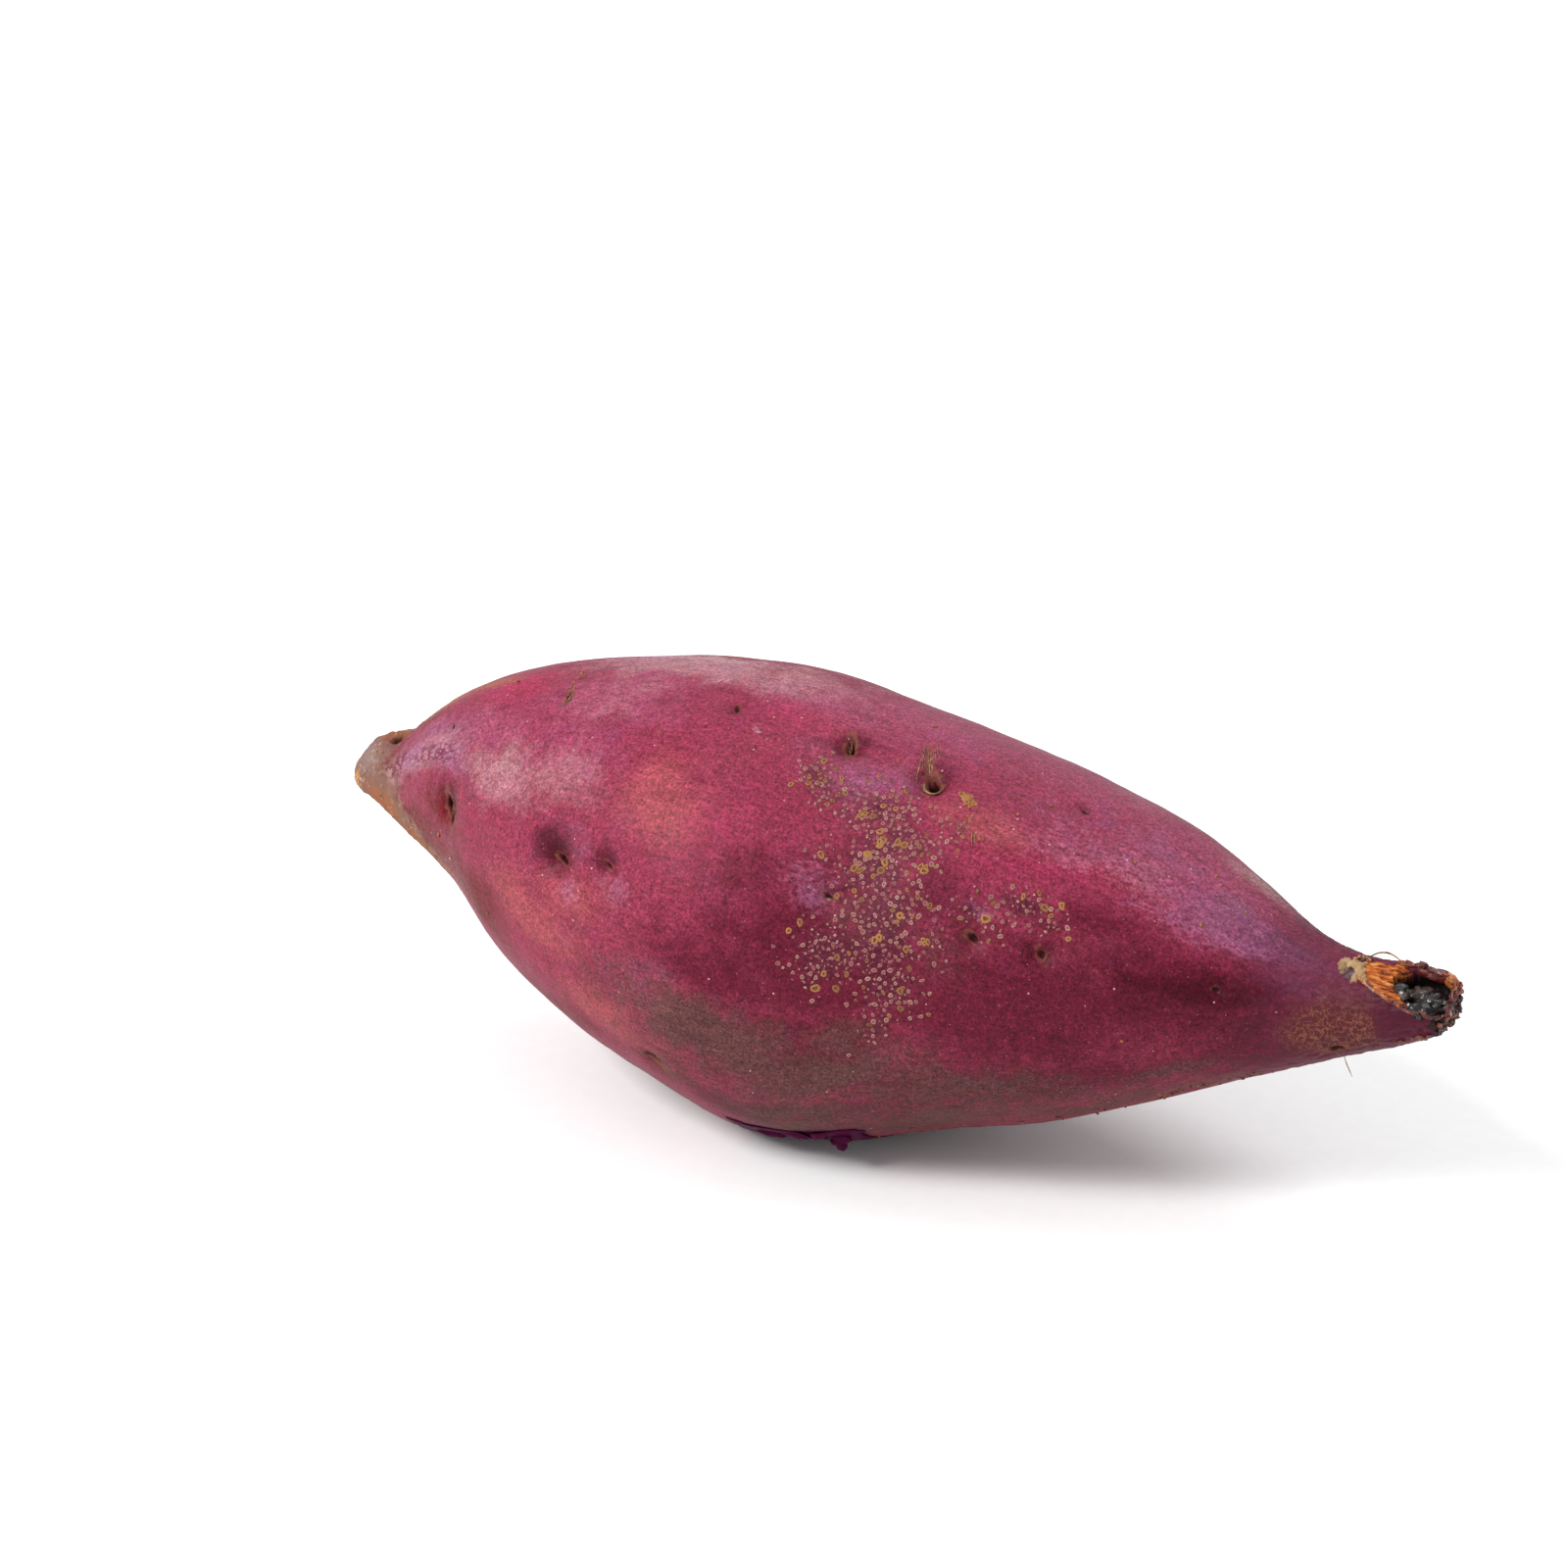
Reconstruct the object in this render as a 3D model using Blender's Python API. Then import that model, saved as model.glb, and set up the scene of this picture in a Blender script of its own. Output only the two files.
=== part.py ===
"""A baked purple-skinned sweet potato, whole, lying on its belly.

The root grew as one piece, so it is one closed solid. X runs along it, from the corky nub at -X to
the cut, scorched stub at +X. Z is up, and the belly rests on a small flat spot at Z = 0.
"""

import math
import random

import bmesh
import bpy
from mathutils import Matrix, Vector

MM = 0.001

# Driving dimensions, in millimetres
LENGTH = 184.0
SIDES = 40
WIDTH_TO_HEIGHT = 1.03

# Rings stand this far apart on the belly, and closer towards the nub and along the stub
BELLY_STEP = 3.2
NUB_STEP = 0.7
NUB_STEP_GROWTH = 0.13
STUB_STEP = 1.1
STUB_STEP_GROWTH = 0.08
STUB_LENGTH = 16.0
SHARP_ANGLE = 45.0

# The root from end to end: distance from the nub, radius, height of its middle, drift towards +Y
ALONG, RADIUS, HEIGHT, DRIFT = range(4)
STATIONS = (
    (0.0, 2.4, 36.0, 4.4),
    (1.0, 3.3, 36.4, 4.4),
    (3.0, 4.7, 37.3, 4.3),
    (6.0, 6.0, 37.4, 4.3),
    (10.0, 7.8, 37.1, 4.2),
    (14.0, 10.3, 38.0, 4.1),
    (20.0, 13.8, 39.1, 3.7),
    (28.0, 18.2, 39.0, 3.2),
    (37.0, 23.3, 37.1, 2.5),
    (50.0, 28.0, 35.4, 1.4),
    (64.0, 31.5, 34.4, 0.6),
    (79.0, 33.6, 32.9, 0.2),
    (94.0, 32.3, 31.8, 0.4),
    (109.0, 28.8, 32.7, 1.0),
    (124.0, 25.0, 32.9, 1.8),
    (138.0, 20.3, 33.6, 2.3),
    (150.0, 14.8, 33.7, 2.2),
    (160.0, 9.8, 33.4, 1.8),
    (168.0, 7.1, 34.5, 1.2),
    (175.0, 5.8, 36.4, 0.5),
    (180.0, 4.8, 37.9, -0.1),
    (182.6, 4.1, 38.7, -0.5),
    (184.0, 2.7, 39.0, -0.7),
)

# Broad swellings and hollows: distance from the nub, degrees round (0 is +Y, 90 is up),
# how far each spreads along the root, how far round it in degrees, and its height
SWELLINGS = (
    (64.0, 150.0, 20.0, 34.0, 1.0),
    (101.0, 146.0, 9.0, 30.0, -1.3),
    (118.0, 118.0, 15.0, 28.0, 0.9),
    (141.0, 134.0, 17.0, 16.0, -1.0),
    (88.0, 214.0, 26.0, 28.0, 0.7),
    (80.0, 250.0, 6.5, 18.0, 0.9),
    (52.0, 20.0, 18.0, 34.0, 1.1),
    (92.0, 350.0, 10.0, 34.0, -1.2),
    (122.0, 12.0, 16.0, 34.0, 0.9),
    (74.0, 300.0, 18.0, 26.0, 0.6),
)

# Eyes on the side that shows: distance from the nub, degrees round, radius and depth of the dimple
EYES = (
    (8.4, 111.0, 1.3, 0.8),
    (24.9, 129.0, 1.2, 0.4),
    (29.6, 168.0, 2.0, 1.3),
    (45.9, 111.0, 1.6, 0.6),
    (56.6, 162.0, 2.7, 2.0),
    (66.4, 159.0, 2.3, 1.3),
    (72.9, 210.0, 2.2, 0.9),
    (75.3, 107.0, 1.4, 0.8),
    (93.5, 106.0, 2.1, 1.7),
    (99.1, 150.0, 2.6, 1.3),
    (107.2, 111.0, 2.6, 2.2),
    (120.1, 155.0, 2.1, 1.0),
    (127.5, 99.0, 1.4, 0.6),
    (129.4, 157.0, 2.2, 0.9),
    (146.8, 242.0, 1.6, 0.7),
    (152.1, 160.0, 1.8, 0.6),
    (167.9, 213.0, 1.2, 0.4),
)

# Eyes on the far side stand in rows down the root, a little out of line
FAR_ROWS = (10.0, 46.0, 304.0, 336.0)
FAR_ROW_START = 34.0
FAR_ROW_END = 150.0
FAR_ROW_STEP = 27.0
FAR_ROW_SEED = 11
FAR_EYE_STRAY = 4.0
FAR_EYE_TURN = 7.0
FAR_EYE_RADIUS = (1.6, 2.5)
FAR_EYE_DEPTH = (0.7, 1.6)

# The skin is modelled finer round each eye, in two rounds that reach this many eye radii
FINE_REACHES = (3.2, 1.9)

# The stub is cut on a slant that faces up, outwards and to the -Y side, with a dried-out hollow
CUT_REACH = 24.0
LIP_RISE = 1.0
CUT_NORMAL = (0.13, -0.37, 0.92)
HOLLOW_FROM_TIP = 4.6
HOLLOW_SIZE = (6.5, 3.3, 3.1)
HOLLOW_DIRECTION = (-0.80, 0.22, -0.56)


def station_slope(index, column):
    """Slope of the smooth curve through the stations, where it passes one of them."""
    before = STATIONS[max(index - 1, 0)]
    after = STATIONS[min(index + 1, len(STATIONS) - 1)]
    return (after[column] - before[column]) / (after[ALONG] - before[ALONG])


def smooth_value(along, column):
    """Value of one column of the stations, on a smooth curve along the root."""
    index = 0
    while index < len(STATIONS) - 2 and along > STATIONS[index + 1][ALONG]:
        index += 1
    near, far = STATIONS[index], STATIONS[index + 1]
    span = far[ALONG] - near[ALONG]
    t = (along - near[ALONG]) / span
    rise = (3 - 2 * t) * t * t
    leave = (1 - t) ** 2 * t * span * station_slope(index, column)
    arrive = (t - 1) * t * t * span * station_slope(index + 1, column)
    return near[column] * (1 - rise) + far[column] * rise + leave + arrive


def degrees_between(first, second):
    """Smaller angle between two directions round the root."""
    return abs((first - second + 180.0) % 360.0 - 180.0)


def relief(along, around):
    """How far the broad swellings lift the skin."""
    lift = 0.0
    for place, side, reach, spread, height in SWELLINGS:
        distance = ((along - place) / reach) ** 2
        distance += (degrees_between(around, side) / spread) ** 2
        lift += height * math.exp(-distance)
    return lift


def middle(along):
    """Centre of the root's section at a distance from the nub."""
    drift = smooth_value(along, DRIFT)
    return Vector((along - LENGTH / 2, drift, smooth_value(along, HEIGHT)))


def skin_point(along, around):
    """Point on the skin, before the eyes are pressed in."""
    turn = math.radians(around)
    radius = smooth_value(along, RADIUS) + relief(along, around)
    out = Vector((0.0, WIDTH_TO_HEIGHT * math.cos(turn), math.sin(turn)))
    return middle(along) + out * radius


def far_eyes():
    """Eyes of the rows on the side that doesn't show, worked out along each row."""
    draw = random.Random(FAR_ROW_SEED)
    eyes = []
    for row, side in enumerate(FAR_ROWS):
        along = FAR_ROW_START + FAR_ROW_STEP * 0.5 * (row % 2)
        while along < FAR_ROW_END:
            place = along + draw.uniform(-FAR_EYE_STRAY, FAR_EYE_STRAY)
            around = side + draw.uniform(-FAR_EYE_TURN, FAR_EYE_TURN)
            eyes.append((place, around, draw.uniform(*FAR_EYE_RADIUS), draw.uniform(*FAR_EYE_DEPTH)))
            along += FAR_ROW_STEP
    return eyes


def ring_places():
    """Distances from the nub of the rings, close together at the narrow ends."""
    places = []
    along = NUB_STEP
    while along < LENGTH - STUB_STEP / 2:
        places.append(along)
        near_nub = NUB_STEP + NUB_STEP_GROWTH * along
        near_stub = STUB_STEP + STUB_STEP_GROWTH * max(LENGTH - STUB_LENGTH - along, 0.0)
        along += min(BELLY_STEP, near_nub, near_stub)
    return [*places, LENGTH]


def extrude_ring(body, ring, along, side):
    """Carry a ring of edges on to the next place along the root."""
    grown = bmesh.ops.extrude_edge_only(body, edges=ring)["geom"]
    for item in grown:
        if isinstance(item, bmesh.types.BMVert):
            item.co = skin_point(along, item[side] * 360.0 / SIDES)
    return [item for item in grown if isinstance(item, bmesh.types.BMEdge)]


def press_eye(body, along, around, radius, depth):
    """Press one eye into the skin, with the mesh made finer round it first."""
    centre = skin_point(along, around)
    inward = (middle(along) - centre).normalized()
    for reach in FINE_REACHES:
        close = [edge for edge in body.edges
                 if all((end.co - centre).length < reach * radius for end in edge.verts)]
        bmesh.ops.subdivide_edges(body, edges=close, cuts=1, use_grid_fill=True)
    for corner in body.verts:
        distance = (corner.co - centre).length / radius
        corner.co += inward * depth * math.exp(-distance * distance)


def cut_flat(body, point, normal, beyond):
    """Slice off what lies past a plane, from a place along X on, and close the cut with one face."""
    corners = {corner for corner in body.verts if corner.co.x > beyond}
    edges = [edge for edge in body.edges if corners.issuperset(edge.verts)]
    faces = [face for face in body.faces if corners.issuperset(face.verts)]
    sliced = bmesh.ops.bisect_plane(body, geom=[*corners, *edges, *faces], dist=0.0001,
                                    plane_co=point, plane_no=normal, clear_outer=True)
    rim = [item for item in sliced["geom_cut"] if isinstance(item, bmesh.types.BMEdge)]
    bmesh.ops.edgeloop_fill(body, edges=rim)


def centre_over_origin(body):
    """Put the middle of the root's box over the origin and its flat spot at Z = 0."""
    xs = [corner.co.x for corner in body.verts]
    ys = [corner.co.y for corner in body.verts]
    shift = Vector((-(min(xs) + max(xs)) / 2, -(min(ys) + max(ys)) / 2, 0.0))
    bmesh.ops.translate(body, verts=body.verts, vec=shift)
    return shift


def cut_point(from_tip):
    """Point on the slanted cut, square off the root's middle, at a distance back from the tip."""
    normal = Vector(CUT_NORMAL).normalized()
    lip = middle(LENGTH) + Vector((0.0, 0.0, LIP_RISE))
    centre = middle(LENGTH - from_tip)
    return centre + normal * (lip - centre).dot(normal)


def skin_material():
    """Wine-red skin with a soft waxy shine."""
    material = bpy.data.materials.new("purple_skin")
    material.use_nodes = True
    shader = material.node_tree.nodes["Principled BSDF"]
    shader.inputs["Base Color"].default_value = (0.27, 0.04, 0.08, 1.0)
    shader.inputs["Roughness"].default_value = 0.5
    shader.inputs["Metallic"].default_value = 0.0
    return material


def hollow_tool(shift):
    """Egg-shaped cutter for the dried-out hollow in the stub."""
    body = bmesh.new()
    bmesh.ops.create_icosphere(body, subdivisions=3, radius=1.0)
    size = Matrix.Diagonal((*HOLLOW_SIZE, 1.0))
    turn = Vector(HOLLOW_DIRECTION).to_track_quat("X", "Z").to_matrix().to_4x4()
    place = Matrix.Translation(cut_point(HOLLOW_FROM_TIP) + shift)
    bmesh.ops.transform(body, matrix=Matrix.Scale(MM, 4) @ place @ turn @ size, verts=body.verts)
    mesh = bpy.data.meshes.new("hollow_tool")
    body.to_mesh(mesh)
    body.free()
    tool = bpy.data.objects.new("hollow_tool", mesh)
    tool.hide_render = True
    tool.display_type = "WIRE"
    bpy.context.collection.objects.link(tool)
    return tool


def sweet_potato():
    """The whole root: a loft of rings, with eyes pressed in, a flat belly and a slanted cut."""
    body = bmesh.new()
    side = body.verts.layers.int.new("side")
    bmesh.ops.create_circle(body, segments=SIDES, radius=1.0)
    for number, corner in enumerate(body.verts):
        corner[side] = number
        corner.co = skin_point(0.0, number * 360.0 / SIDES)
    ring = body.edges[:]
    bmesh.ops.edgeloop_fill(body, edges=ring)
    for along in ring_places():
        ring = extrude_ring(body, ring, along, side)
    bmesh.ops.edgeloop_fill(body, edges=ring)
    for eye in (*EYES, *far_eyes()):
        press_eye(body, *eye)
    cut_flat(body, cut_point(0.0), Vector(CUT_NORMAL), middle(LENGTH - CUT_REACH).x)
    cut_flat(body, Vector((0.0, 0.0, 0.0)), Vector((0.0, 0.0, -1.0)), -LENGTH)
    shift = centre_over_origin(body)
    bmesh.ops.triangulate(body, faces=body.faces)
    bmesh.ops.recalc_face_normals(body, faces=body.faces)
    bmesh.ops.scale(body, vec=(MM, MM, MM), verts=body.verts)
    mesh = bpy.data.meshes.new("sweet_potato")
    body.to_mesh(mesh)
    body.free()
    mesh.shade_smooth()
    mesh.set_sharp_from_angle(angle=math.radians(SHARP_ANGLE))
    mesh.materials.append(skin_material())
    root = bpy.data.objects.new("sweet_potato", mesh)
    bpy.context.collection.objects.link(root)
    hollow = root.modifiers.new("hollow", "BOOLEAN")
    hollow.operation = "DIFFERENCE"
    hollow.object = hollow_tool(shift)
    return root


for old in list(bpy.data.objects):
    bpy.data.objects.remove(old, do_unlink=True)

sweet_potato()
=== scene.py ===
# %% [markdown]
# # A baked sweet potato with purple skin
#
# This lesson dresses one root: a spindle 184 mm long, with wine-red skin, a corky nub at one end
# and a cut, scorched stub at the other. The solid model gives its size and its main shape. Here
# the skin is modelled again as a much finer mesh on the same curves, so that its eyes, wrinkles
# and torn edges are real relief, and every finish is a node material.

# %% Load the frame
import math
import random
from functools import partial

import bmesh
import bpy
import numpy as np
from mathutils import Matrix, Vector, noise
from mathutils.bvhtree import BVHTree


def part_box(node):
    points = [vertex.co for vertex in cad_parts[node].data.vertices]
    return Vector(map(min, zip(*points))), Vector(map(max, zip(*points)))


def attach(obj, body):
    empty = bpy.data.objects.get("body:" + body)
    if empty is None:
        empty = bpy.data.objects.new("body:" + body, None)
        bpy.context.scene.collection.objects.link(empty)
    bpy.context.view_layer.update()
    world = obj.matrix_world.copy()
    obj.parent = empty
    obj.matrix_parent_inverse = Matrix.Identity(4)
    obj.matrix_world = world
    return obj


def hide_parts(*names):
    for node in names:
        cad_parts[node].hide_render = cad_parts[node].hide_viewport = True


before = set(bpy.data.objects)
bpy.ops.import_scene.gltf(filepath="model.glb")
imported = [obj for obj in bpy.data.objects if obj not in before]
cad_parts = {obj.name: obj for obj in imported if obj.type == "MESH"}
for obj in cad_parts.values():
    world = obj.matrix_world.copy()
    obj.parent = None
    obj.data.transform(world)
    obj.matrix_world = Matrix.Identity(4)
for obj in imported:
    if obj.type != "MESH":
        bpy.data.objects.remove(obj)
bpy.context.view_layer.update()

MM = 0.001

# %% [markdown]
# ## Camera
#
# The camera stands as far off as the photograph's outline asks for: 22 degrees above the table
# and 29 degrees off the side, with a long lens. It could be aimed with a constraint, but two
# angles in a rotation are plainer and leave nothing live in the scene.

# %% Camera
CAMERA_PLACE = (273.77, -518.54, 290.1)
CAMERA_ABOVE = 22.0
CAMERA_ROUND = 29.0
LENS = 100.0
SENSOR = 36.0
NEAREST = 0.01
FARTHEST = 20.0

camera_data = bpy.data.cameras.new("camera")
camera_data.lens = LENS
camera_data.sensor_width = SENSOR
camera_data.clip_start = NEAREST
camera_data.clip_end = FARTHEST
camera = bpy.data.objects.new("camera", camera_data)
camera.location = Vector(CAMERA_PLACE) * MM
camera.rotation_euler = (math.radians(90 - CAMERA_ABOVE), 0.0, math.radians(CAMERA_ROUND))
bpy.context.scene.collection.objects.link(camera)
bpy.context.scene.camera = camera
print("camera stands", round(camera.location.length, 3), "m from the origin")

# %% [markdown]
# ## Colours and nodes
#
# Colours are picked as sRGB hex values, the way a colour picker shows them, but shader sockets
# take linear light. One function turns one into the other. A second small function adds a node,
# sets its options and inputs, and links what feeds it, so that a material reads as a short list.


# %% Helpers for colours and nodes
def linear(hex_code):
    """Linear colour, with an alpha of 1, for an sRGB hex value such as '#a04055'."""
    parts = [int(hex_code[place:place + 2], 16) / 255 for place in (1, 3, 5)]
    light = [part / 12.92 if part <= 0.04045 else ((part + 0.055) / 1.055) ** 2.4 for part in parts]
    return (*light, 1.0)


def add_node(tree, kind, inputs=None, **options):
    """Add a shader node; an input given as a node or a socket is linked, any other value is set."""
    node = tree.nodes.new("ShaderNode" + kind)
    for name, value in options.items():
        setattr(node, name, value)
    for name, value in (inputs or {}).items():
        if isinstance(value, bpy.types.Node):
            value = next(socket for socket in value.outputs if socket.enabled)
        if isinstance(value, bpy.types.NodeSocket):
            tree.links.new(value, node.inputs[name])
        else:
            node.inputs[name].default_value = value
    return node


def new_material(name, **sockets):
    """A material whose Principled shader has these uniform values."""
    material = bpy.data.materials.new(name)
    material.use_nodes = True
    shader = material.node_tree.nodes["Principled BSDF"]
    for socket, value in sockets.items():
        shader.inputs[socket.replace("_", " ")].default_value = value
    return material, material.node_tree, shader


def set_stops(ramp, tones):
    """Give a colour ramp its own stops in place of the two that it starts with."""
    stops = ramp.color_ramp.elements
    for stop, hex_code in tones:
        stops.new(stop).color = linear(hex_code)
    stops.remove(stops[0])
    stops.remove(stops[-1])


print("the middle red of the skin is", [round(value, 3) for value in linear("#7c2c41")], "in linear light")

# %% [markdown]
# ## Floor and light
#
# The photograph is a studio shot on a white sweep: the table burns out to white, and the only
# tone in it is a short grey shadow under the raised, right-hand part of the root. A large plane
# does for the sweep. A soft box at the front and left, well above the table, throws that shadow,
# a second one behind gives the pale sheen along the top, and a white surround fills the rest.

# %% Floor
FLOOR_SIZE = 8.0
TOOTH_SIZE = 2.5

floor_mesh = bpy.data.meshes.new("floor")
floor_body = bmesh.new()
bmesh.ops.create_grid(floor_body, x_segments=2, y_segments=2, size=FLOOR_SIZE / 2)
floor_body.to_mesh(floor_mesh)
floor_body.free()
floor = bpy.data.objects.new("floor", floor_mesh)
bpy.context.scene.collection.objects.link(floor)

# Matt white painted board: next to no shine, a faint tooth
board, tree, shader = new_material("white_sweep", Roughness=0.9)
position = add_node(tree, "TexCoord").outputs["Object"]
tooth = add_node(tree, "TexNoise", {"Vector": position, "Scale": 1 / (TOOTH_SIZE * MM), "Detail": 3.0})
paint = {"Factor": tooth, "A": linear("#f4f4f3"), "B": linear("#fafaf9")}
tone = add_node(tree, "Mix", paint, data_type="RGBA")
tree.links.new(tone.outputs["Result"], shader.inputs["Base Color"])
floor_mesh.materials.append(board)
print("floor is", FLOOR_SIZE, "m wide")

# %% Light
SURROUND = 0.75
LIT_POINT = (0.0, 0.0, 0.03)

world = bpy.data.worlds.new("studio")
world.use_nodes = True
surround = world.node_tree.nodes["Background"]
surround.inputs["Color"].default_value = linear("#fbfdff")
surround.inputs["Strength"].default_value = SURROUND
bpy.context.scene.world = world
bpy.context.scene.view_settings.view_transform = "Standard"


def soft_light(name, place, width, watts):
    """A square soft box at a place in metres, turned to face the root."""
    lamp = bpy.data.lights.new(name, "AREA")
    lamp.size = width
    lamp.energy = watts
    box = bpy.data.objects.new(name, lamp)
    box.location = place
    box.rotation_euler = (Vector(LIT_POINT) - Vector(place)).to_track_quat("-Z", "Y").to_euler()
    bpy.context.scene.collection.objects.link(box)
    print(name, "gives", watts, "W from a box", width, "m wide")


soft_light("overhead", (0.10, 0.35, 1.20), width=0.8, watts=6.0)
soft_light("front_left", (-0.60, -0.90, 0.95), width=0.5, watts=20.0)

# %% [markdown]
# ## The root's main shape
#
# The root is a loft: a round section whose radius, height and drift change along it, with a few
# broad swellings and hollows on top. The stations and swellings are the ones the solid is made
# from. One grid of squares is rolled up into the spindle, so every point of the skin knows how
# far along and how far round it lies. That makes eyes and blushes easy to place later.

# %% Stations and swellings, as on the solid
LENGTH = 184.0
WIDTH_TO_HEIGHT = 1.03
ALONG, RADIUS, HEIGHT, DRIFT = range(4)
# Along, radius, height and drift, in millimetres
STATIONS = np.array((
    (0, 2.4, 36, 4.4), (1, 3.3, 36.4, 4.4), (3, 4.7, 37.3, 4.3), (6, 6, 37.4, 4.3), (10, 7.8, 37.1, 4.2),
    (14, 10.3, 38, 4.1), (20, 13.8, 39.1, 3.7), (28, 18.2, 39, 3.2), (37, 23.3, 37.1, 2.5),
    (50, 28, 35.4, 1.4), (64, 31.5, 34.4, 0.6), (79, 33.6, 32.9, 0.2), (94, 32.3, 31.8, 0.4),
    (109, 28.8, 32.7, 1), (124, 25, 32.9, 1.8), (138, 20.3, 33.6, 2.3), (150, 14.8, 33.7, 2.2),
    (160, 9.8, 33.4, 1.8), (168, 7.1, 34.5, 1.2), (175, 5.8, 36.4, 0.5), (180, 4.8, 37.9, -0.1),
    (182.6, 4.1, 38.7, -0.5), (184, 2.7, 39, -0.7),
))
# Along, around, reach in millimetres, spread in degrees, height
SWELLINGS = (
    (64, 150, 20, 34, 1), (101, 146, 9, 30, -1.3), (118, 118, 15, 28, 0.9), (141, 134, 17, 16, -1),
    (88, 214, 26, 28, 0.7), (80, 250, 6.5, 18, 0.9), (52, 20, 18, 34, 1.1), (92, 350, 10, 34, -1.2),
    (122, 12, 16, 34, 0.9), (74, 300, 18, 26, 0.6),
)
print(len(STATIONS), "stations and", len(SWELLINGS), "swellings")

# %% Eyes, as on the solid
# Along, around, radius and depth
EYES = (
    (8.4, 111, 1.3, 0.8), (24.9, 129, 1.2, 0.4), (29.6, 168, 2, 1.3), (45.9, 111, 1.6, 0.6),
    (56.6, 162, 2.7, 2), (66.4, 159, 2.3, 1.3), (72.9, 210, 2.2, 0.9), (75.3, 107, 1.4, 0.8),
    (93.5, 106, 2.1, 1.7), (99.1, 150, 2.6, 1.3), (107.2, 111, 2.6, 2.2), (120.1, 155, 2.1, 1),
    (127.5, 99, 1.4, 0.6), (129.4, 157, 2.2, 0.9), (146.8, 242, 1.6, 0.7), (152.1, 160, 1.8, 0.6),
    (167.9, 213, 1.2, 0.4),
)
FAR_ROWS = (10.0, 46.0, 304.0, 336.0)
FAR_START, FAR_STEP, FAR_END = 34.0, 27.0, 150.0
FAR_STRAY_ALONG, FAR_STRAY_AROUND = 4.0, 7.0
FAR_RADIUS = (1.6, 2.5)
FAR_DEPTH = (0.7, 1.6)


def far_eyes():
    """The eyes of the rows on the far side, drawn as the solid's are."""
    draw = random.Random(11)
    eyes = []
    for row, side in enumerate(FAR_ROWS):
        along = FAR_START + FAR_STEP * 0.5 * (row % 2)
        while along < FAR_END:
            place = along + draw.uniform(-FAR_STRAY_ALONG, FAR_STRAY_ALONG)
            around = side + draw.uniform(-FAR_STRAY_AROUND, FAR_STRAY_AROUND)
            eyes.append((place, around, draw.uniform(*FAR_RADIUS), draw.uniform(*FAR_DEPTH)))
            along += FAR_STEP
    return eyes


ALL_EYES = (*EYES, *far_eyes())
print(len(ALL_EYES), "eyes,", len(EYES), "of them on the side that shows")


# %% Curves along the root
def smooth_curve(along, column):
    """Values of one column of the stations at distances from the nub, on the solid's own curve."""
    places, values = STATIONS[:, ALONG], STATIONS[:, column]
    after = np.append(np.arange(1, len(places)), len(places) - 1)
    before = np.append(0, np.arange(len(places) - 1))
    slopes = (values[after] - values[before]) / (places[after] - places[before])
    near = np.clip(np.searchsorted(places, along, side="left") - 1, 0, len(places) - 2)
    span = places[near + 1] - places[near]
    t = (along - places[near]) / span
    rise = (3 - 2 * t) * t * t
    leave = (1 - t) ** 2 * t * span * slopes[near]
    arrive = (t - 1) * t * t * span * slopes[near + 1]
    return values[near] * (1 - rise) + values[near + 1] * rise + leave + arrive


def degrees_between(first, second):
    """Signed angle from one direction round the root to another."""
    return (first - second + 180.0) % 360.0 - 180.0


def middle(along):
    """Centres of the root's sections."""
    drift, height = smooth_curve(along, DRIFT), smooth_curve(along, HEIGHT)
    return np.stack([along - LENGTH / 2, drift, height], axis=-1)


def outward(around):
    """Directions from the middle to the skin."""
    turn = np.radians(around)
    return np.stack([np.zeros_like(turn), WIDTH_TO_HEIGHT * np.cos(turn), np.sin(turn)], axis=-1)


def bare_radius(along, around):
    """Radius with the broad swellings, before any eye."""
    radius = smooth_curve(along, RADIUS)
    for place, side, reach, spread, height in SWELLINGS:
        distance = ((along - place) / reach) ** 2 + (degrees_between(around, side) / spread) ** 2
        radius = radius + height * np.exp(-distance)
    return radius


def bare_points(along, around):
    """Points of the skin, before any eye."""
    return middle(along) + outward(around) * bare_radius(along, around)[:, None]


thickest = STATIONS[STATIONS[:, RADIUS].argmax()]
print("thickest", thickest[ALONG], "mm from the nub, with a radius of", thickest[RADIUS], "mm")

# %% [markdown]
# ## The mesh of the skin
#
# A voxel remesh of the solid would give even squares, but it would blur the nub and the stub,
# where the finest detail is. A grid that is rolled up does the opposite: the same number of
# squares goes round a thin neck as round the belly, so both ends come out fine by themselves.
# Rows also stand closer together towards the ends, and round each eye the squares are halved.

# %% Rows
# In millimetres: the rows widen from the end step to the belly step past each reach
END_STEP = 0.28
BELLY_STEP = 0.84
STEP_GROWTH = 0.03
NUB_REACH = 12.0
STUB_REACH = 20.0
CAP_ROWS = 10


def row_places():
    """Distances of the rows from the nub, in millimetres."""
    places = [0.0]
    while places[-1] < LENGTH - END_STEP:
        here = places[-1]
        past = max(here - NUB_REACH, 0.0), max(LENGTH - STUB_REACH - here, 0.0)
        places.append(here + min(BELLY_STEP, END_STEP + STEP_GROWTH * min(past)))
    places[-1] = LENGTH
    return places


rows = row_places()
row_along = np.array([0.0] * CAP_ROWS + rows + [LENGTH] * CAP_ROWS)
cap = np.linspace(0.0, 1.0, CAP_ROWS, endpoint=False)
row_spread = np.concatenate([cap, np.ones(len(rows)), cap[::-1]])
print(len(row_along), "rows,", CAP_ROWS, "of them across each end")

# %% Squares
SIDES = 226
SEAM = 270.0
# In radii of the eye
FINER_REACHES = (1.7, 0.95)


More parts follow.
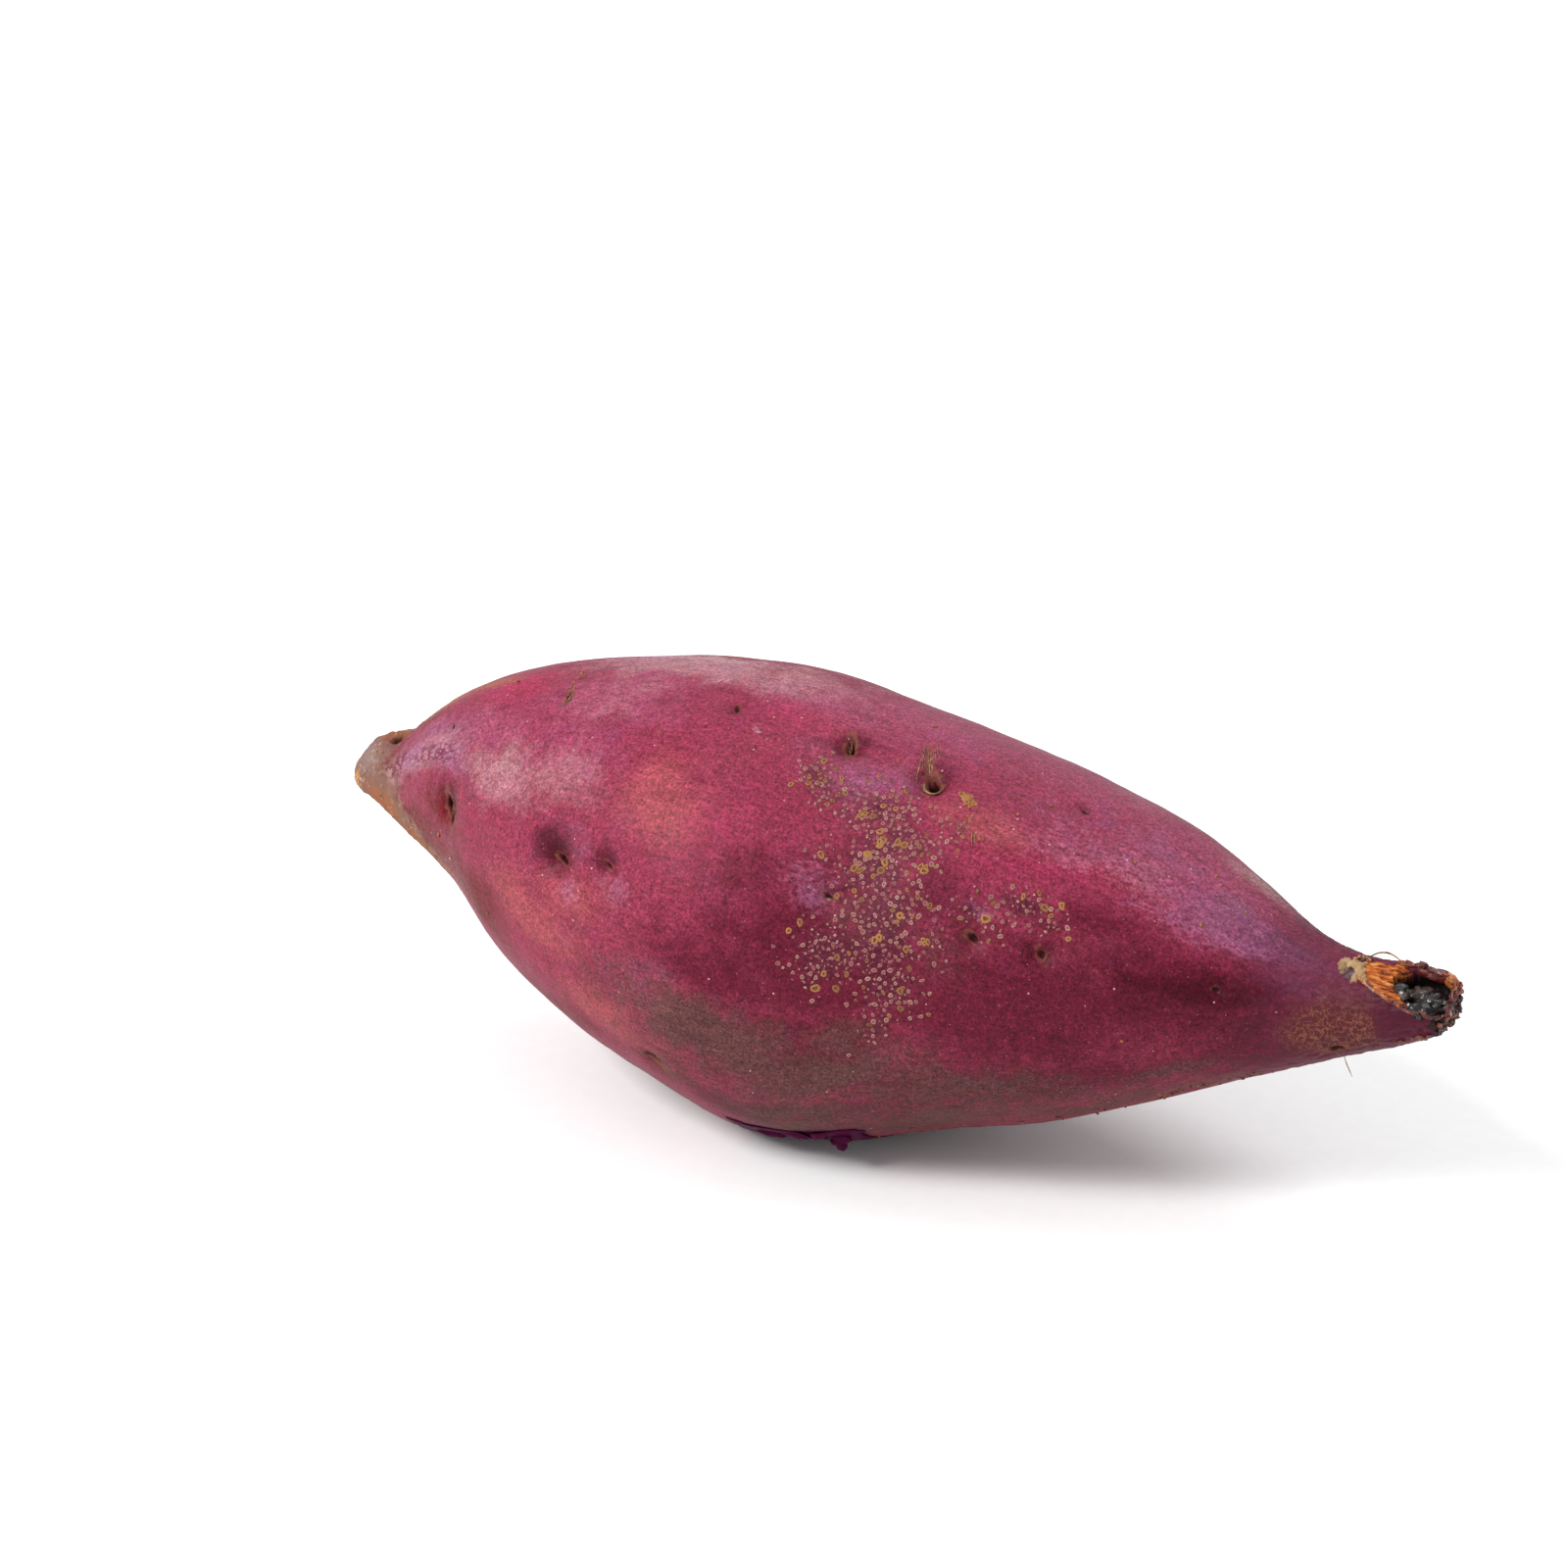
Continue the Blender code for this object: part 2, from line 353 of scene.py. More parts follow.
def unroll(column, side):
    """Distance along, degrees round and how far out from the pole, for places on the flat grid."""
    index = np.arange(len(row_along))
    along = np.interp(column, index, row_along)
    spread = np.interp(column, index, row_spread)
    return along, SEAM + side * 360.0 / SIDES, spread


def skin_grid():
    """A flat grid, one unit a square, with its squares halved once or twice near each eye."""
    body = bmesh.new()
    bmesh.ops.create_grid(body, x_segments=len(row_along) - 1, y_segments=SIDES, size=0.5)
    bmesh.ops.translate(body, verts=body.verts, vec=(0.5, 0.5, 0.0))
    bmesh.ops.scale(body, verts=body.verts, vec=(len(row_along) - 1, SIDES, 1.0))
    for reach in FINER_REACHES:
        flat = np.array([corner.co[:2] for corner in body.verts])
        along, around = unroll(flat[:, 0], flat[:, 1])[:2]
        arc = np.radians(1.0) * smooth_curve(along, RADIUS)
        close = np.zeros(len(flat), bool)
        for place, side, radius, _ in ALL_EYES:
            offset = degrees_between(around, side) * arc
            close |= (along - place) ** 2 + offset ** 2 < (reach * radius) ** 2
        body.verts.index_update()
        edges = [edge for edge in body.edges if all(close[corner.index] for corner in edge.verts)]
        bmesh.ops.subdivide_edges(body, edges=edges, cuts=1, use_grid_fill=True)
    return body


grid = skin_grid()
print(len(grid.faces), "squares after the eyes are made finer")

# %% [markdown]
# ## Relief of the skin
#
# Every form on the skin is a formula in two coordinates: millimetres along and millimetres
# round. A Displace modifier could do the same from textures, but formulas put each eye exactly
# where it grows, and the same numbers later say where the skin is darker. Seeded noise from
# Blender's own library gives the unevenness that no formula should repeat.

# %% Noise and places
def rough(points, size, octaves=3, seed=0.0):
    """Fractal noise, about -1 to 1, with lumps of a size in millimetres."""
    offset = Vector((seed * 17.3, seed * 5.1, seed * 9.7))
    return np.array([noise.fractal(Vector(point) / size + offset, 1.0, 2.0, octaves) for point in points])


def smooth_step(low, high, value):
    """0 below low, 1 above high, and a smooth slope between."""
    t = np.clip((value - low) / (high - low), 0.0, 1.0)
    return t * t * (3 - 2 * t)


flat = np.array([corner.co[:2] for corner in grid.verts])
along, around, spread = unroll(flat[:, 0], flat[:, 1])
bare = bare_radius(along, around)
out = outward(around)
across = np.radians(1.0) * bare
skin = middle(along) + out * (bare * spread)[:, None]
angle = np.radians(around)
straight = np.stack([along, bare * np.cos(angle), bare * np.sin(angle)], axis=-1)
rise = np.zeros(len(skin))


def tilted(place, side, tilt=0.0):
    """Millimetres ahead and aside of a place on the skin, along a line tilted from the root's own."""
    ahead, aside = along - place, degrees_between(around, side) * across
    turn = math.radians(tilt)
    return (ahead * math.cos(turn) + aside * math.sin(turn),
            aside * math.cos(turn) - ahead * math.sin(turn))


print(len(skin), "points, one degree round the belly is", round(float(across.max()), 2), "mm")

# %% Dimples of the eyes
for place, side, eye_radius, depth in ALL_EYES:
    centre = bare_points(np.array([place]), np.array([side]))[0]
    distance = np.linalg.norm(skin - centre, axis=1) / eye_radius
    rise -= depth * np.exp(-distance ** 2)
print("deepest dimple lies", round(float(-rise.min()), 2), "mm below the skin")

# %% Pits in the dimples, each with a lip
# Along, around, half length, half width, tilt in degrees (0 lies along the root), depth, lip
PITS = (
    (8, 106, 1.3, 0.8, 20, 1, 0.15), (24.7, 128, 0.5, 0.22, 80, 0.25, 0.05),
    (29, 166.5, 1.1, 0.45, 85, 0.9, 0.12), (30.3, 171.5, 0.9, 0.40, 80, 0.8, 0.12),
    (45.9, 110, 0.8, 0.3, 66, 0.3, 0.10), (56.6, 161, 0.75, 0.42, 30, 0.75, 0.10),
    (66, 158, 0.5, 0.28, 40, 0.45, 0.08), (72.9, 210, 1.6, 0.5, 15, 0.5, 0.16),
    (75.3, 106, 0.5, 0.28, 70, 0.5, 0.08), (93.3, 105, 1.5, 0.42, 72, 1.2, 0.16),
    (99.1, 150, 0.6, 0.32, 50, 0.6, 0.10), (107, 109.5, 1, 0.62, 70, 1.9, 0.25),
    (120.1, 155, 0.7, 0.38, 30, 0.5, 0.10), (127.5, 99, 0.6, 0.22, 10, 0.3, 0.06),
    (129.4, 157, 0.6, 0.4, 60, 0.55, 0.08), (146.5, 238, 2.2, 0.4, 5, 0.7, 0.16),
    (152.1, 160, 0.35, 0.25, 0, 0.3, 0.05), (167.9, 217, 0.9, 0.35, 10, 0.35, 0.12),
)
FAR_PIT_RANGES = ((0.6, 1.4), (0.25, 0.5), (40.0, 110.0), (0.4, 1.1), (0.06, 0.2))
WOBBLE = 0.4
# In half widths of the pit
LIP_PLACE = 1.7
LIP_WIDTH = 0.5
FULL_LIP = 0.14


def far_pits():
    """Pits of the eyes on the far side, drawn within the ranges of those that show."""
    draw = random.Random(23)
    return [(place, side, *(draw.uniform(*limits) for limits in FAR_PIT_RANGES))
            for place, side, _, _ in far_eyes()]


pit = np.zeros(len(skin))
pit_rim = np.zeros(len(skin))
wobble = 1 + WOBBLE * rough(straight, 1.1, 2, 4.0)
for place, side, half_length, half_width, tilt, depth, lip in (*PITS, *far_pits()):
    ahead, aside = tilted(place, side, tilt)
    distance = np.sqrt((ahead / half_length) ** 2 + (aside / half_width) ** 2) * wobble
    rise += lip * np.exp(-((distance - LIP_PLACE) / LIP_WIDTH) ** 2) - depth * np.exp(-distance ** 2)
    pit = np.maximum(pit, np.exp(-(distance / 1.1) ** 3))
    rim = np.exp(-((distance - LIP_PLACE) / (1.2 * LIP_WIDTH)) ** 2)
    pit_rim = np.maximum(pit_rim, rim * min(1.0, lip / FULL_LIP))
print("deepest pit lies", round(float(-rise.min()), 2), "mm below the skin")

# %% The oblique trough above the deepest eye
TROUGH_PLACE, TROUGH_SIDE, TROUGH_TILT = 104.7, 102.5, 66.0
TROUGH_HALF_LENGTH, TROUGH_HALF_WIDTH = 4.2, 0.62
TROUGH_DEPTH, TROUGH_LIP = 0.65, 0.16
# In half widths: where the lip stands, how wide it is, and how wide the dry bed is
TROUGH_LIP_PLACE, TROUGH_LIP_WIDTH, DRY_BED_WIDTH = 1.8, 0.6, 1.25

ahead, aside = tilted(TROUGH_PLACE, TROUGH_SIDE, TROUGH_TILT)
ends = (ahead / TROUGH_HALF_LENGTH) ** 4
aside = aside / TROUGH_HALF_WIDTH
rise -= TROUGH_DEPTH * np.exp(-ends - aside ** 2) * wobble
rise += TROUGH_LIP * np.exp(-ends - ((np.abs(aside) - TROUGH_LIP_PLACE) / TROUGH_LIP_WIDTH) ** 2)
dry_bed = np.exp(-ends - (aside / DRY_BED_WIDTH) ** 4)
print("the dry bed of the trough covers", int((dry_bed > 0.5).sum()), "points")

# %% Lumps, wrinkles and folds
LUMP_HEIGHT, GRAIN_HEIGHT = 0.16, 0.035
NUB_FOLD_HEIGHT, NECK_FOLD_HEIGHT, NECK_GRAIN_HEIGHT = 0.09, 0.15, 0.10
FULL_SIZE_RADIUS = 18.0
FOLD_SPACING = (7.0, 1.25, 1.25)
NUB_FOLDS_START, NUB_FOLDS_END = (5.0, 9.0), (30.0, 13.0)
NECK_START = (146.0, 166.0)
BURNT_START = (178.0, 181.0)

size_here = np.clip(bare / FULL_SIZE_RADIUS, 0.3, 1.0)
rise += LUMP_HEIGHT * rough(skin, 13.0, 3, 1.0) * size_here
rise += GRAIN_HEIGHT * rough(skin, 2.6, 3, 2.0)
folds = 1 - 2 * np.abs(rough(straight / np.array(FOLD_SPACING), 1.0, 3, 3.0))
near_nub = smooth_step(*NUB_FOLDS_END, along) * smooth_step(*NUB_FOLDS_START, along)
near_stub = smooth_step(*NECK_START, along)
rise += folds * (NUB_FOLD_HEIGHT * near_nub + NECK_FOLD_HEIGHT * near_stub)
rise += NECK_GRAIN_HEIGHT * near_stub * rough(skin, 1.0, 3, 5.0)
burnt_relief = np.abs(0.55 * rough(skin, 1.3, 3, 16.0) + 0.2 * rough(skin, 0.45, 2, 17.0))
rise -= smooth_step(*BURNT_START, along) * burnt_relief
print("folds cover", round(float((near_nub + near_stub > 0.5).mean() * 100)), "% of the points")

# %% Rolled edge of the healed scab, open towards the flesh
SCAB_PLACE, SCAB_SIDE = 168.6, 114.0
SCAB_RADIUS, SCAB_ROLL = 1.25, 0.72
SCAB_OPENING = 120.0
SCAB_HEIGHT, SCAB_UNEVENNESS = 0.42, 0.16

ahead, aside = tilted(SCAB_PLACE, SCAB_SIDE)
scab_far = np.hypot(ahead / 1.1, aside * 1.15 + 0.3 * ahead) * (1 + 0.5 * rough(skin, 1.3, 3, 14.0))
open_side = np.cos(np.arctan2(aside, ahead) - math.radians(SCAB_OPENING))
scab = np.exp(-((scab_far - SCAB_RADIUS) / SCAB_ROLL) ** 4) * smooth_step(0.95, 0.5, open_side)
rise += scab * (SCAB_HEIGHT + SCAB_UNEVENNESS * rough(skin, 0.5, 2, 15.0))
print("scab covers", int((scab > 0.5).sum()), "points")

# %% Scaly cork of the nub, and the uneven end of the stub
# The cork reaches further along the lower side: extra reach, middle in degrees, spread
CORK_REACH = 7.5
CORK_TONGUES = ((4.0, 176.0, 30.0), (16.0, 214.0, 20.0))
END_CAP = (181.4, 183.2)
END_SHORTER, END_RAGGED = 0.7, 0.9

ragged = 3.2 * rough(skin, 3.4, 4, 6.0) + 1.2 * rough(skin, 0.8, 2, 18.0)
cork_end = CORK_REACH
for reach, side, width in CORK_TONGUES:
    cork_end = cork_end + reach * np.exp(-(degrees_between(around, side) / width) ** 2)
nub = smooth_step(1.4, -1.0, along + ragged - cork_end)
scales = np.minimum(np.abs(rough(skin * np.array((1.0, 0.7, 0.7)), 1.3, 2, 7.0)), 0.35)
rise += nub * (0.14 * rough(skin, 1.9, 3, 8.0) + 0.18 * scales + 0.07 * rough(skin, 0.45, 2, 19.0))
skin += out * rise[:, None]
shorter = END_SHORTER + END_RAGGED * np.abs(rough(skin, 1.6, 2, 21.0))
skin[:, 0] -= smooth_step(*END_CAP, along) * shorter
print("relief runs from", round(float(rise.min()), 2), "to", round(float(rise.max()), 2), "mm")

# %% [markdown]
# ## The cut stub
#
# The stub was cut on a slant and then scorched. A Boolean cut would leave long thin triangles, so
# the rows that stand above the plane of the cut are pressed down on to it instead, with a fibrous
# unevenness, and the ones over the dried-out hollow are pressed on down to the floor of the
# hollow. The mesh is a tenth of a millimetre fine here, so the torn rim comes out crisp.

# %% Plane of the cut, as on the solid
CUT_REACH = 24.0
LIP_RISE = 1.0
CUT_NORMAL = np.array((0.13, -0.37, 0.92)) / np.linalg.norm((0.13, -0.37, 0.92))
CUT_FIBRES, CUT_LUMPS = 0.18, 0.30
FIBRE_STRETCH = (0.25, 1.0, 1.0)

lip_point = middle(np.array([LENGTH]))[0] + np.array((0.0, 0.0, LIP_RISE))
above = (skin - lip_point) @ CUT_NORMAL
in_reach = smooth_step(LENGTH - CUT_REACH, LENGTH - CUT_REACH + 1.0, along)
fibres = rough(skin * np.array(FIBRE_STRETCH), 0.45, 3, 9.0)
lumps = rough(skin, 1.5, 3, 10.0)
cut = smooth_step(0.0, 0.25, above) * in_reach
cut_rise = CUT_FIBRES * fibres + CUT_LUMPS * lumps
skin -= CUT_NORMAL * (np.maximum(above - cut_rise, 0.0) * in_reach)[:, None]
print("cut takes off up to", round(float((above * in_reach).max()), 2), "mm")

# %% Hollow in the stub: rays down from the cut to the floor of the solid's own ellipsoid
HOLLOW_FROM_TIP = 4.6
HOLLOW_SIZE = (6.5, 3.3, 3.1)
HOLLOW_DIRECTION = (-0.80, 0.22, -0.56)
HOLLOW_LUMPS = 0.18

from_tip = middle(np.array([LENGTH - HOLLOW_FROM_TIP]))[0]
hollow_centre = from_tip + CUT_NORMAL * ((lip_point - from_tip) @ CUT_NORMAL)
hollow_turn = Vector(HOLLOW_DIRECTION).to_track_quat("X", "Z").to_matrix()
hollow_axes = np.array(hollow_turn).T / np.array(HOLLOW_SIZE)[:, None]
# Where a ray meets the ellipsoid is a quadratic, solved here for all points at once
local = (skin - hollow_centre) @ hollow_axes.T
ray = -(hollow_axes @ CUT_NORMAL)
across_ray = local @ ray
past_wall = (local ** 2).sum(axis=1) - 1.0 - HOLLOW_LUMPS * lumps
inside = across_ray ** 2 - (ray @ ray) * past_wall
drop = np.where(inside > 0, (-across_ray + np.sqrt(np.maximum(inside, 0.0))) / (ray @ ray), 0.0)
drop = np.maximum(drop, 0.0) * cut
skin -= CUT_NORMAL * drop[:, None]
print("hollow is", round(float(drop.max()), 2), "mm deep")

# %% Flat belly, and the whole centred as the solid is
skin[:, 2] = np.maximum(skin[:, 2], 0.0)
cad_low, cad_high = (np.array(corner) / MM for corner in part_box("sweet_potato"))
low, high = skin.min(axis=0), skin.max(axis=0)
shift = (cad_low + cad_high) / 2 - (low + high) / 2
shift[2] = 0.0
skin = np.clip(skin + shift, cad_low, cad_high)
print("skin spans", low.round(2), "to", high.round(2), "and moves by", shift.round(3), "mm")

# %% [markdown]
# ## Tones of the skin
#
# The skin isn't one colour. It is crimson where it is thin and bare, salmon on the shoulder,
# dusty plum along the top, nearly black-red in places and grey-brown where it lay in earth.
# Some blushes are painted light: shade in the dimples of the eyes and in fine creases, and pale
# highlights and sheen on the upper side.
# Painting a picture would do it, but weights that are kept with the points are lighter and work
# from every side. Each blush is one soft patch, and its outline is bent by noise.

# %% Blushes
# Along, around, reach in mm, spread in degrees, strength
BLUSHES = {
    # Lilac-grey tone; on the upper neck and shoulder it also paints the sheen of the skin
    "lilac": (
        (156, 118, 14, 20, 0.9), (140, 101, 14, 12, 0.5), (126, 106, 10, 8, 0.4), (99, 115, 8, 9, 0.6),
        (25, 133, 7, 12, 0.6), (161, 145, 8, 18, 0.7), (60, 155, 10, 6, 0.4), (76, 182, 9, 7, 0.4),
        (90, 45, 20, 14, 0.5),
    ),
    "plum": (
        (104, 84, 20, 20, 0.9), (126, 80, 20, 20, 0.9), (147, 92, 18, 28, 1), (88, 92, 14, 14, 0.8),
        (56, 108, 16, 18, 0.8), (34, 128, 12, 15, 0.8), (52, 128, 12, 14, 0.6), (146, 114, 12, 12, 0.9),
        (98, 118, 8, 8, 0.4), (40, 60, 18, 24, 0.6), (80, 40, 16, 22, 0.7), (118, 350, 18, 22, 0.7),
        (150, 320, 16, 40, 0.6),
    ),
    "rose": (
        (12.5, 152, 4, 22, 0.95), (40, 143, 12, 12, 0.7), (53, 140, 10, 11, 0.55),
        (21, 143, 10, 13, 0.9), (62, 88, 20, 9, 0.9), (80, 86, 12, 10, 0.7), (58, 104, 8, 8, 0.4),
        (55, 116, 8, 7, 0.4), (153, 72, 9, 10, 0.7), (66, 30, 18, 20, 0.7), (100, 330, 18, 20, 0.6),
    ),
    "hot": (
        (34, 102, 8, 12, 0.8), (84, 102, 9, 10, 0.5), (50, 196, 9, 8, 0.5), (82, 140, 8, 12, 0.5),
        (126, 126, 12, 8, 0.5), (60, 10, 20, 24, 0.6),
    ),
    "coral": (
        (52, 180, 12, 10, 0.95), (63, 199, 9, 9, 0.95), (60, 169, 10, 8, 0.7), (72, 138, 8, 13, 0.85),
        (118, 119, 11, 7, 0.7), (136, 122, 12, 6, 0.5), (74, 202, 8, 6, 0.5), (96, 110, 5, 5, 0.3),
        (126, 32, 14, 18, 0.6), (40, 330, 14, 30, 0.6),
    ),
    "wine": (
        (100, 168, 18, 20, 1), (128, 176, 26, 28, 1), (148, 168, 20, 34, 1), (86, 176, 13, 12, 0.85),
        (103, 144, 8, 12, 0.8), (114, 148, 9, 14, 0.7), (130, 206, 26, 16, 0.9), (90, 150, 12, 12, 0.6),
        (85, 216, 10, 8, 0.7), (100, 188, 20, 14, 0.85), (76, 174, 8, 9, 0.55), (138, 146, 13, 12, 0.75),
        (156, 206, 14, 30, 0.85), (112, 216, 22, 10, 0.6), (172, 190, 14, 90, 0.9),
        (108, 35, 16, 20, 0.7), (92, 300, 30, 30, 0.7), (140, 350, 20, 40, 0.7), (60, 250, 20, 20, 0.6),
        (27, 168, 5, 12, 0.6),
    ),
    "blood": (
        (18, 196, 14, 20, 1), (34, 192, 11, 14, 1), (28, 172, 7, 12, 0.8), (40, 200, 8, 12, 0.6),
        (54, 216, 10, 9, 0.7), (18, 240, 12, 30, 0.8), (16, 110, 6, 10, 0.6), (70, 224, 8, 6, 0.4),
        (30, 300, 20, 30, 0.6),
    ),
    # Nearly black-red skin; round the eyes these patches are painted shade in the dimples
    "deep": (
        (151, 162, 11, 13, 1), (143, 172, 8, 10, 0.5), (156, 182, 8, 14, 0.6), (55.2, 159, 5, 7.5, 0.85),
        (65, 156.5, 3.2, 5, 0.7), (29.8, 165, 3.2, 10, 0.7), (177.5, 150, 8, 75, 0.95),
        (127.2, 98, 1.6, 3, 0.5), (141.6, 161, 2.2, 4, 0.8), (75.3, 106, 2.4, 4, 0.5),
        (93.8, 106, 3.2, 7, 0.7), (106.8, 108, 4, 6, 0.7), (99.5, 149.5, 2.4, 4, 0.7),
        (120.1, 154.5, 2.8, 6, 0.6), (129.4, 156.5, 3.2, 6, 0.7), (73, 209, 4, 4, 0.6),
        (70, 350, 14, 18, 0.5), (140, 0, 14, 24, 0.5),
    ),
    "dusk": (
        (84, 194, 17, 12, 0.95), (70, 188, 11, 11, 0.55), (100, 200, 20, 12, 0.85),
        (116, 208, 18, 13, 0.7), (126, 214, 16, 12, 0.6), (122, 205, 12, 9, 0.75), (104, 188, 8, 7, 0.6),
        (147, 211, 9, 9, 0.6), (106, 155, 7, 10, 0.5), (116, 162, 6, 12, 0.4), (140, 222, 12, 10, 0.6),
        (94, 215, 17, 10, 0.8), (76, 209, 8, 9, 0.6), (152, 212, 10, 12, 0.4), (110, 300, 24, 22, 0.6),
        (56, 290, 16, 24, 0.5), (136, 270, 20, 40, 0.6),
    ),
    "earth": (
        (112, 228, 20, 12, 0.95), (94, 226, 12, 9, 0.8), (136, 234, 18, 10, 0.8),
        (150, 236, 16, 12, 0.7), (74, 212, 7, 6, 0.5), (98, 262, 34, 20, 0.9), (130, 290, 20, 14, 0.5),
    ),
    # Pale dusty bloom, which along the top rim and beside the nub is also painted sheen
    "bloom": (
        (60, 79, 17, 6, 0.85), (46, 82, 8, 6, 0.5), (78, 77, 8, 4, 0.4), (17, 145, 4, 9, 0.25),
        (152, 66, 5, 7, 0.7), (80.7, 112, 0.7, 1.6, 0.7), (88, 73, 5, 4, 0.4), (96, 20, 14, 14, 0.5),
    ),
    "speckle": (
        (92, 119, 2.6, 5, 0.8), (95.5, 123, 4, 5, 0.6), (103, 125, 6, 7, 0.8), (107.5, 133, 5.5, 7, 0.8),
        (105, 141, 5.5, 7, 0.6), (107.5, 152, 5.5, 8, 0.9), (108, 162, 5.5, 8, 1), (101, 166, 4.5, 7, 1),
        (110, 174, 4, 8, 0.8), (109, 184, 3, 6, 0.4), (126, 143, 4, 5, 0.8), (120, 148, 4.5, 5, 0.5),
        (114, 124, 3, 5, 0.4), (129, 147, 3, 4, 0.5), (70, 30, 8, 10, 0.8), (84, 18, 6, 9, 0.7),
    ),
    # Painted highlights: pale lavender glints below some eyes and beside the nub
    "lavender": (
        (59.6, 168, 3, 5, 0.55), (68.6, 163.5, 2.8, 5, 0.55), (97.4, 151.5, 3, 5, 0.6),
        (16.5, 143, 4.5, 13, 0.9), (26, 145, 7, 9, 0.8), (20, 128, 5, 12, 0.6), (88.5, 112, 4, 5, 0.4),
        (121, 146.5, 2, 3, 0.6),
    ),
    # Painted sheen: pale lengthwise streaks on the right shoulder and beside one eye
    "streak": (
        (134, 118, 14, 8, 0.8), (148, 128, 10, 9, 0.7), (96, 146, 4, 5, 0.7),
    ),
    # Painted shade: where thin dark lines stand for the shade in fine creases, mostly by the nub
    "crease": (
        (12.5, 148, 5, 18, 1), (23, 145, 7, 8, 1), (10, 120, 4, 20, 0.6), (152, 120, 12, 12, 0.35),
    ),
    "rust": (
        (8.5, 200, 5, 24, 1), (17, 211, 7, 13, 0.85), (25.5, 214, 7, 9, 0.65), (8, 95, 5, 16, 0.8),
        (17, 98, 7, 10, 0.9), (27, 96, 7, 6, 0.75),
    ),
    "ash": (
        (3.5, 140, 3.5, 35, 0.8), (6, 70, 5, 40, 0.5),
    ),
    "yellow": (
        (1.4, 191, 1.4, 30, 0.9),
    ),
}
# Patches with a reach under the last value bend less, so that the small ones stay in place
BENT_ALONG, BENT_AROUND = 3.2, 7.0
FULLY_BENT = 12.0


def stray(points):
    """How far noise bends the outlines of the patches, in millimetres along and degrees round."""
    return BENT_ALONG * rough(points, 11.0, 4, 11.0), BENT_AROUND * rough(points, 11.0, 4, 12.0)


def blush(patches, along, around, strays):
    """How strongly one tone lies at some places: the strongest of its patches there."""
    stray_along, stray_around = strays
    total = np.zeros(len(along))
    for place, side, reach, width, strength in patches:
        bent = min(1.0, reach / FULLY_BENT)
        distance = ((along + stray_along * bent - place) / reach) ** 2
        distance += (degrees_between(around + stray_around * bent, side) / width) ** 2
        total = np.maximum(total, strength * np.exp(-distance))
    return total


weights = {}
skin_strays = stray(skin)
for tone, patches in BLUSHES.items():
    weights[tone] = blush(patches, along, around, skin_strays)
    print(tone, "covers", round(float((weights[tone] > 0.4).mean() * 100)), "% of the points")

# %% Weights that follow the relief
weights["pit"] = pit
weights["rim"] = np.maximum(pit_rim, 0.9 * dry_bed)
weights["cork"] = smooth_step(6.5, -4.5, along + 0.8 * ragged - cork_end)
weights["scab"] = scab
weights["core"] = np.exp(-(scab_far / 0.8) ** 4)

# Lower edge of the bare flesh: along, and around in degrees
FLESH_ALONG = (169.8, 171.3, 172.7, 174.5, 176.0, 177.5)
FLESH_AROUND = (112.0, 123.0, 137.0, 146.0, 154.0, 160.0)
turned = around % 360.0
scorched = smooth_step(0.0, 0.15, drop)
lower_edge = np.interp(along, FLESH_ALONG, FLESH_AROUND)
above_edge = smooth_step(2.5, -2.5, turned + 4.0 * lumps - lower_edge)
past_ridge = smooth_step(84.0, 92.0, turned + 6.0 * lumps)
before_char = smooth_step(178.0, 176.5, along + lumps)
past_scab = smooth_step(169.4, 170.6, along + 0.6 * lumps)
weights["raw"] = above_edge * past_ridge * (1 - scorched) * before_char * past_scab
burnt_end = smooth_step(176.0, 178.5, along + 1.1 * lumps)
weights["char"] = np.maximum(scorched, burnt_end * smooth_step(-0.7, 0.0, above + 0.3 * lumps))
weights["tip"] = smooth_step(180.0, 182.5, along + 0.9 * lumps)
weights["neck"] = near_stub
print("flesh shows at", int((weights["raw"] > 0.5).sum()), "points and char at",
      int((weights["char"] > 0.5).sum()))

# %% Weights of the worm marks and of the syrup
WORM_START, WORM_END = (158.0, 167.0), (177.0, 171.0)
WORM_SIDE, WORM_SPREAD = 188.0, 45.0
SYRUP_TOP, SYRUP_BOTTOM = (228.0, 230.5), (262.0, 250.0)
SYRUP_LEFT, SYRUP_RIGHT, SYRUP_MIDDLE = (79.5, 82.0), (104.0, 99.0), 90.0
SYRUP_SLOPE = 0.3

worm = smooth_step(*WORM_START, along + 4.0 * rough(skin, 6.0, 2, 20.0))
worm = worm * smooth_step(*WORM_END, along) * (1 - weights["raw"])
weights["worm"] = worm * np.exp(-(degrees_between(turned, WORM_SIDE) / WORM_SPREAD) ** 2)
ragged_edge = 1.1 * rough(skin, 3.0, 3, 13.0)
height_round = turned + ragged_edge + SYRUP_SLOPE * np.abs(along - SYRUP_MIDDLE) - 1.0
weights["damp"] = (smooth_step(*SYRUP_TOP, height_round) * smooth_step(*SYRUP_BOTTOM, turned)
                   * smooth_step(*SYRUP_LEFT, along + ragged_edge)
                   * smooth_step(*SYRUP_RIGHT, along + ragged_edge))
print("syrup wets", int((weights["damp"] > 0.5).sum()), "points")

# %% [markdown]
# ## From numbers to a mesh
#
# The grid is still flat. Moving its points to their places rolls it up, and merging the points
# that then coincide closes the seam under the belly and both ends. Each weight is stored with
# the points as an attribute, which a material can read without any picture.

# %% Make the skin's mesh
SAME_PLACE = 1e-7

store = [(grid.verts.layers.float.new(name), values) for name, values in weights.items()]
for number, corner in enumerate(grid.verts):
    corner.co = skin[number] * MM
    for layer, values in store:
        corner[layer] = float(values[number])
bmesh.ops.remove_doubles(grid, verts=grid.verts, dist=SAME_PLACE)
bmesh.ops.recalc_face_normals(grid, faces=grid.faces)
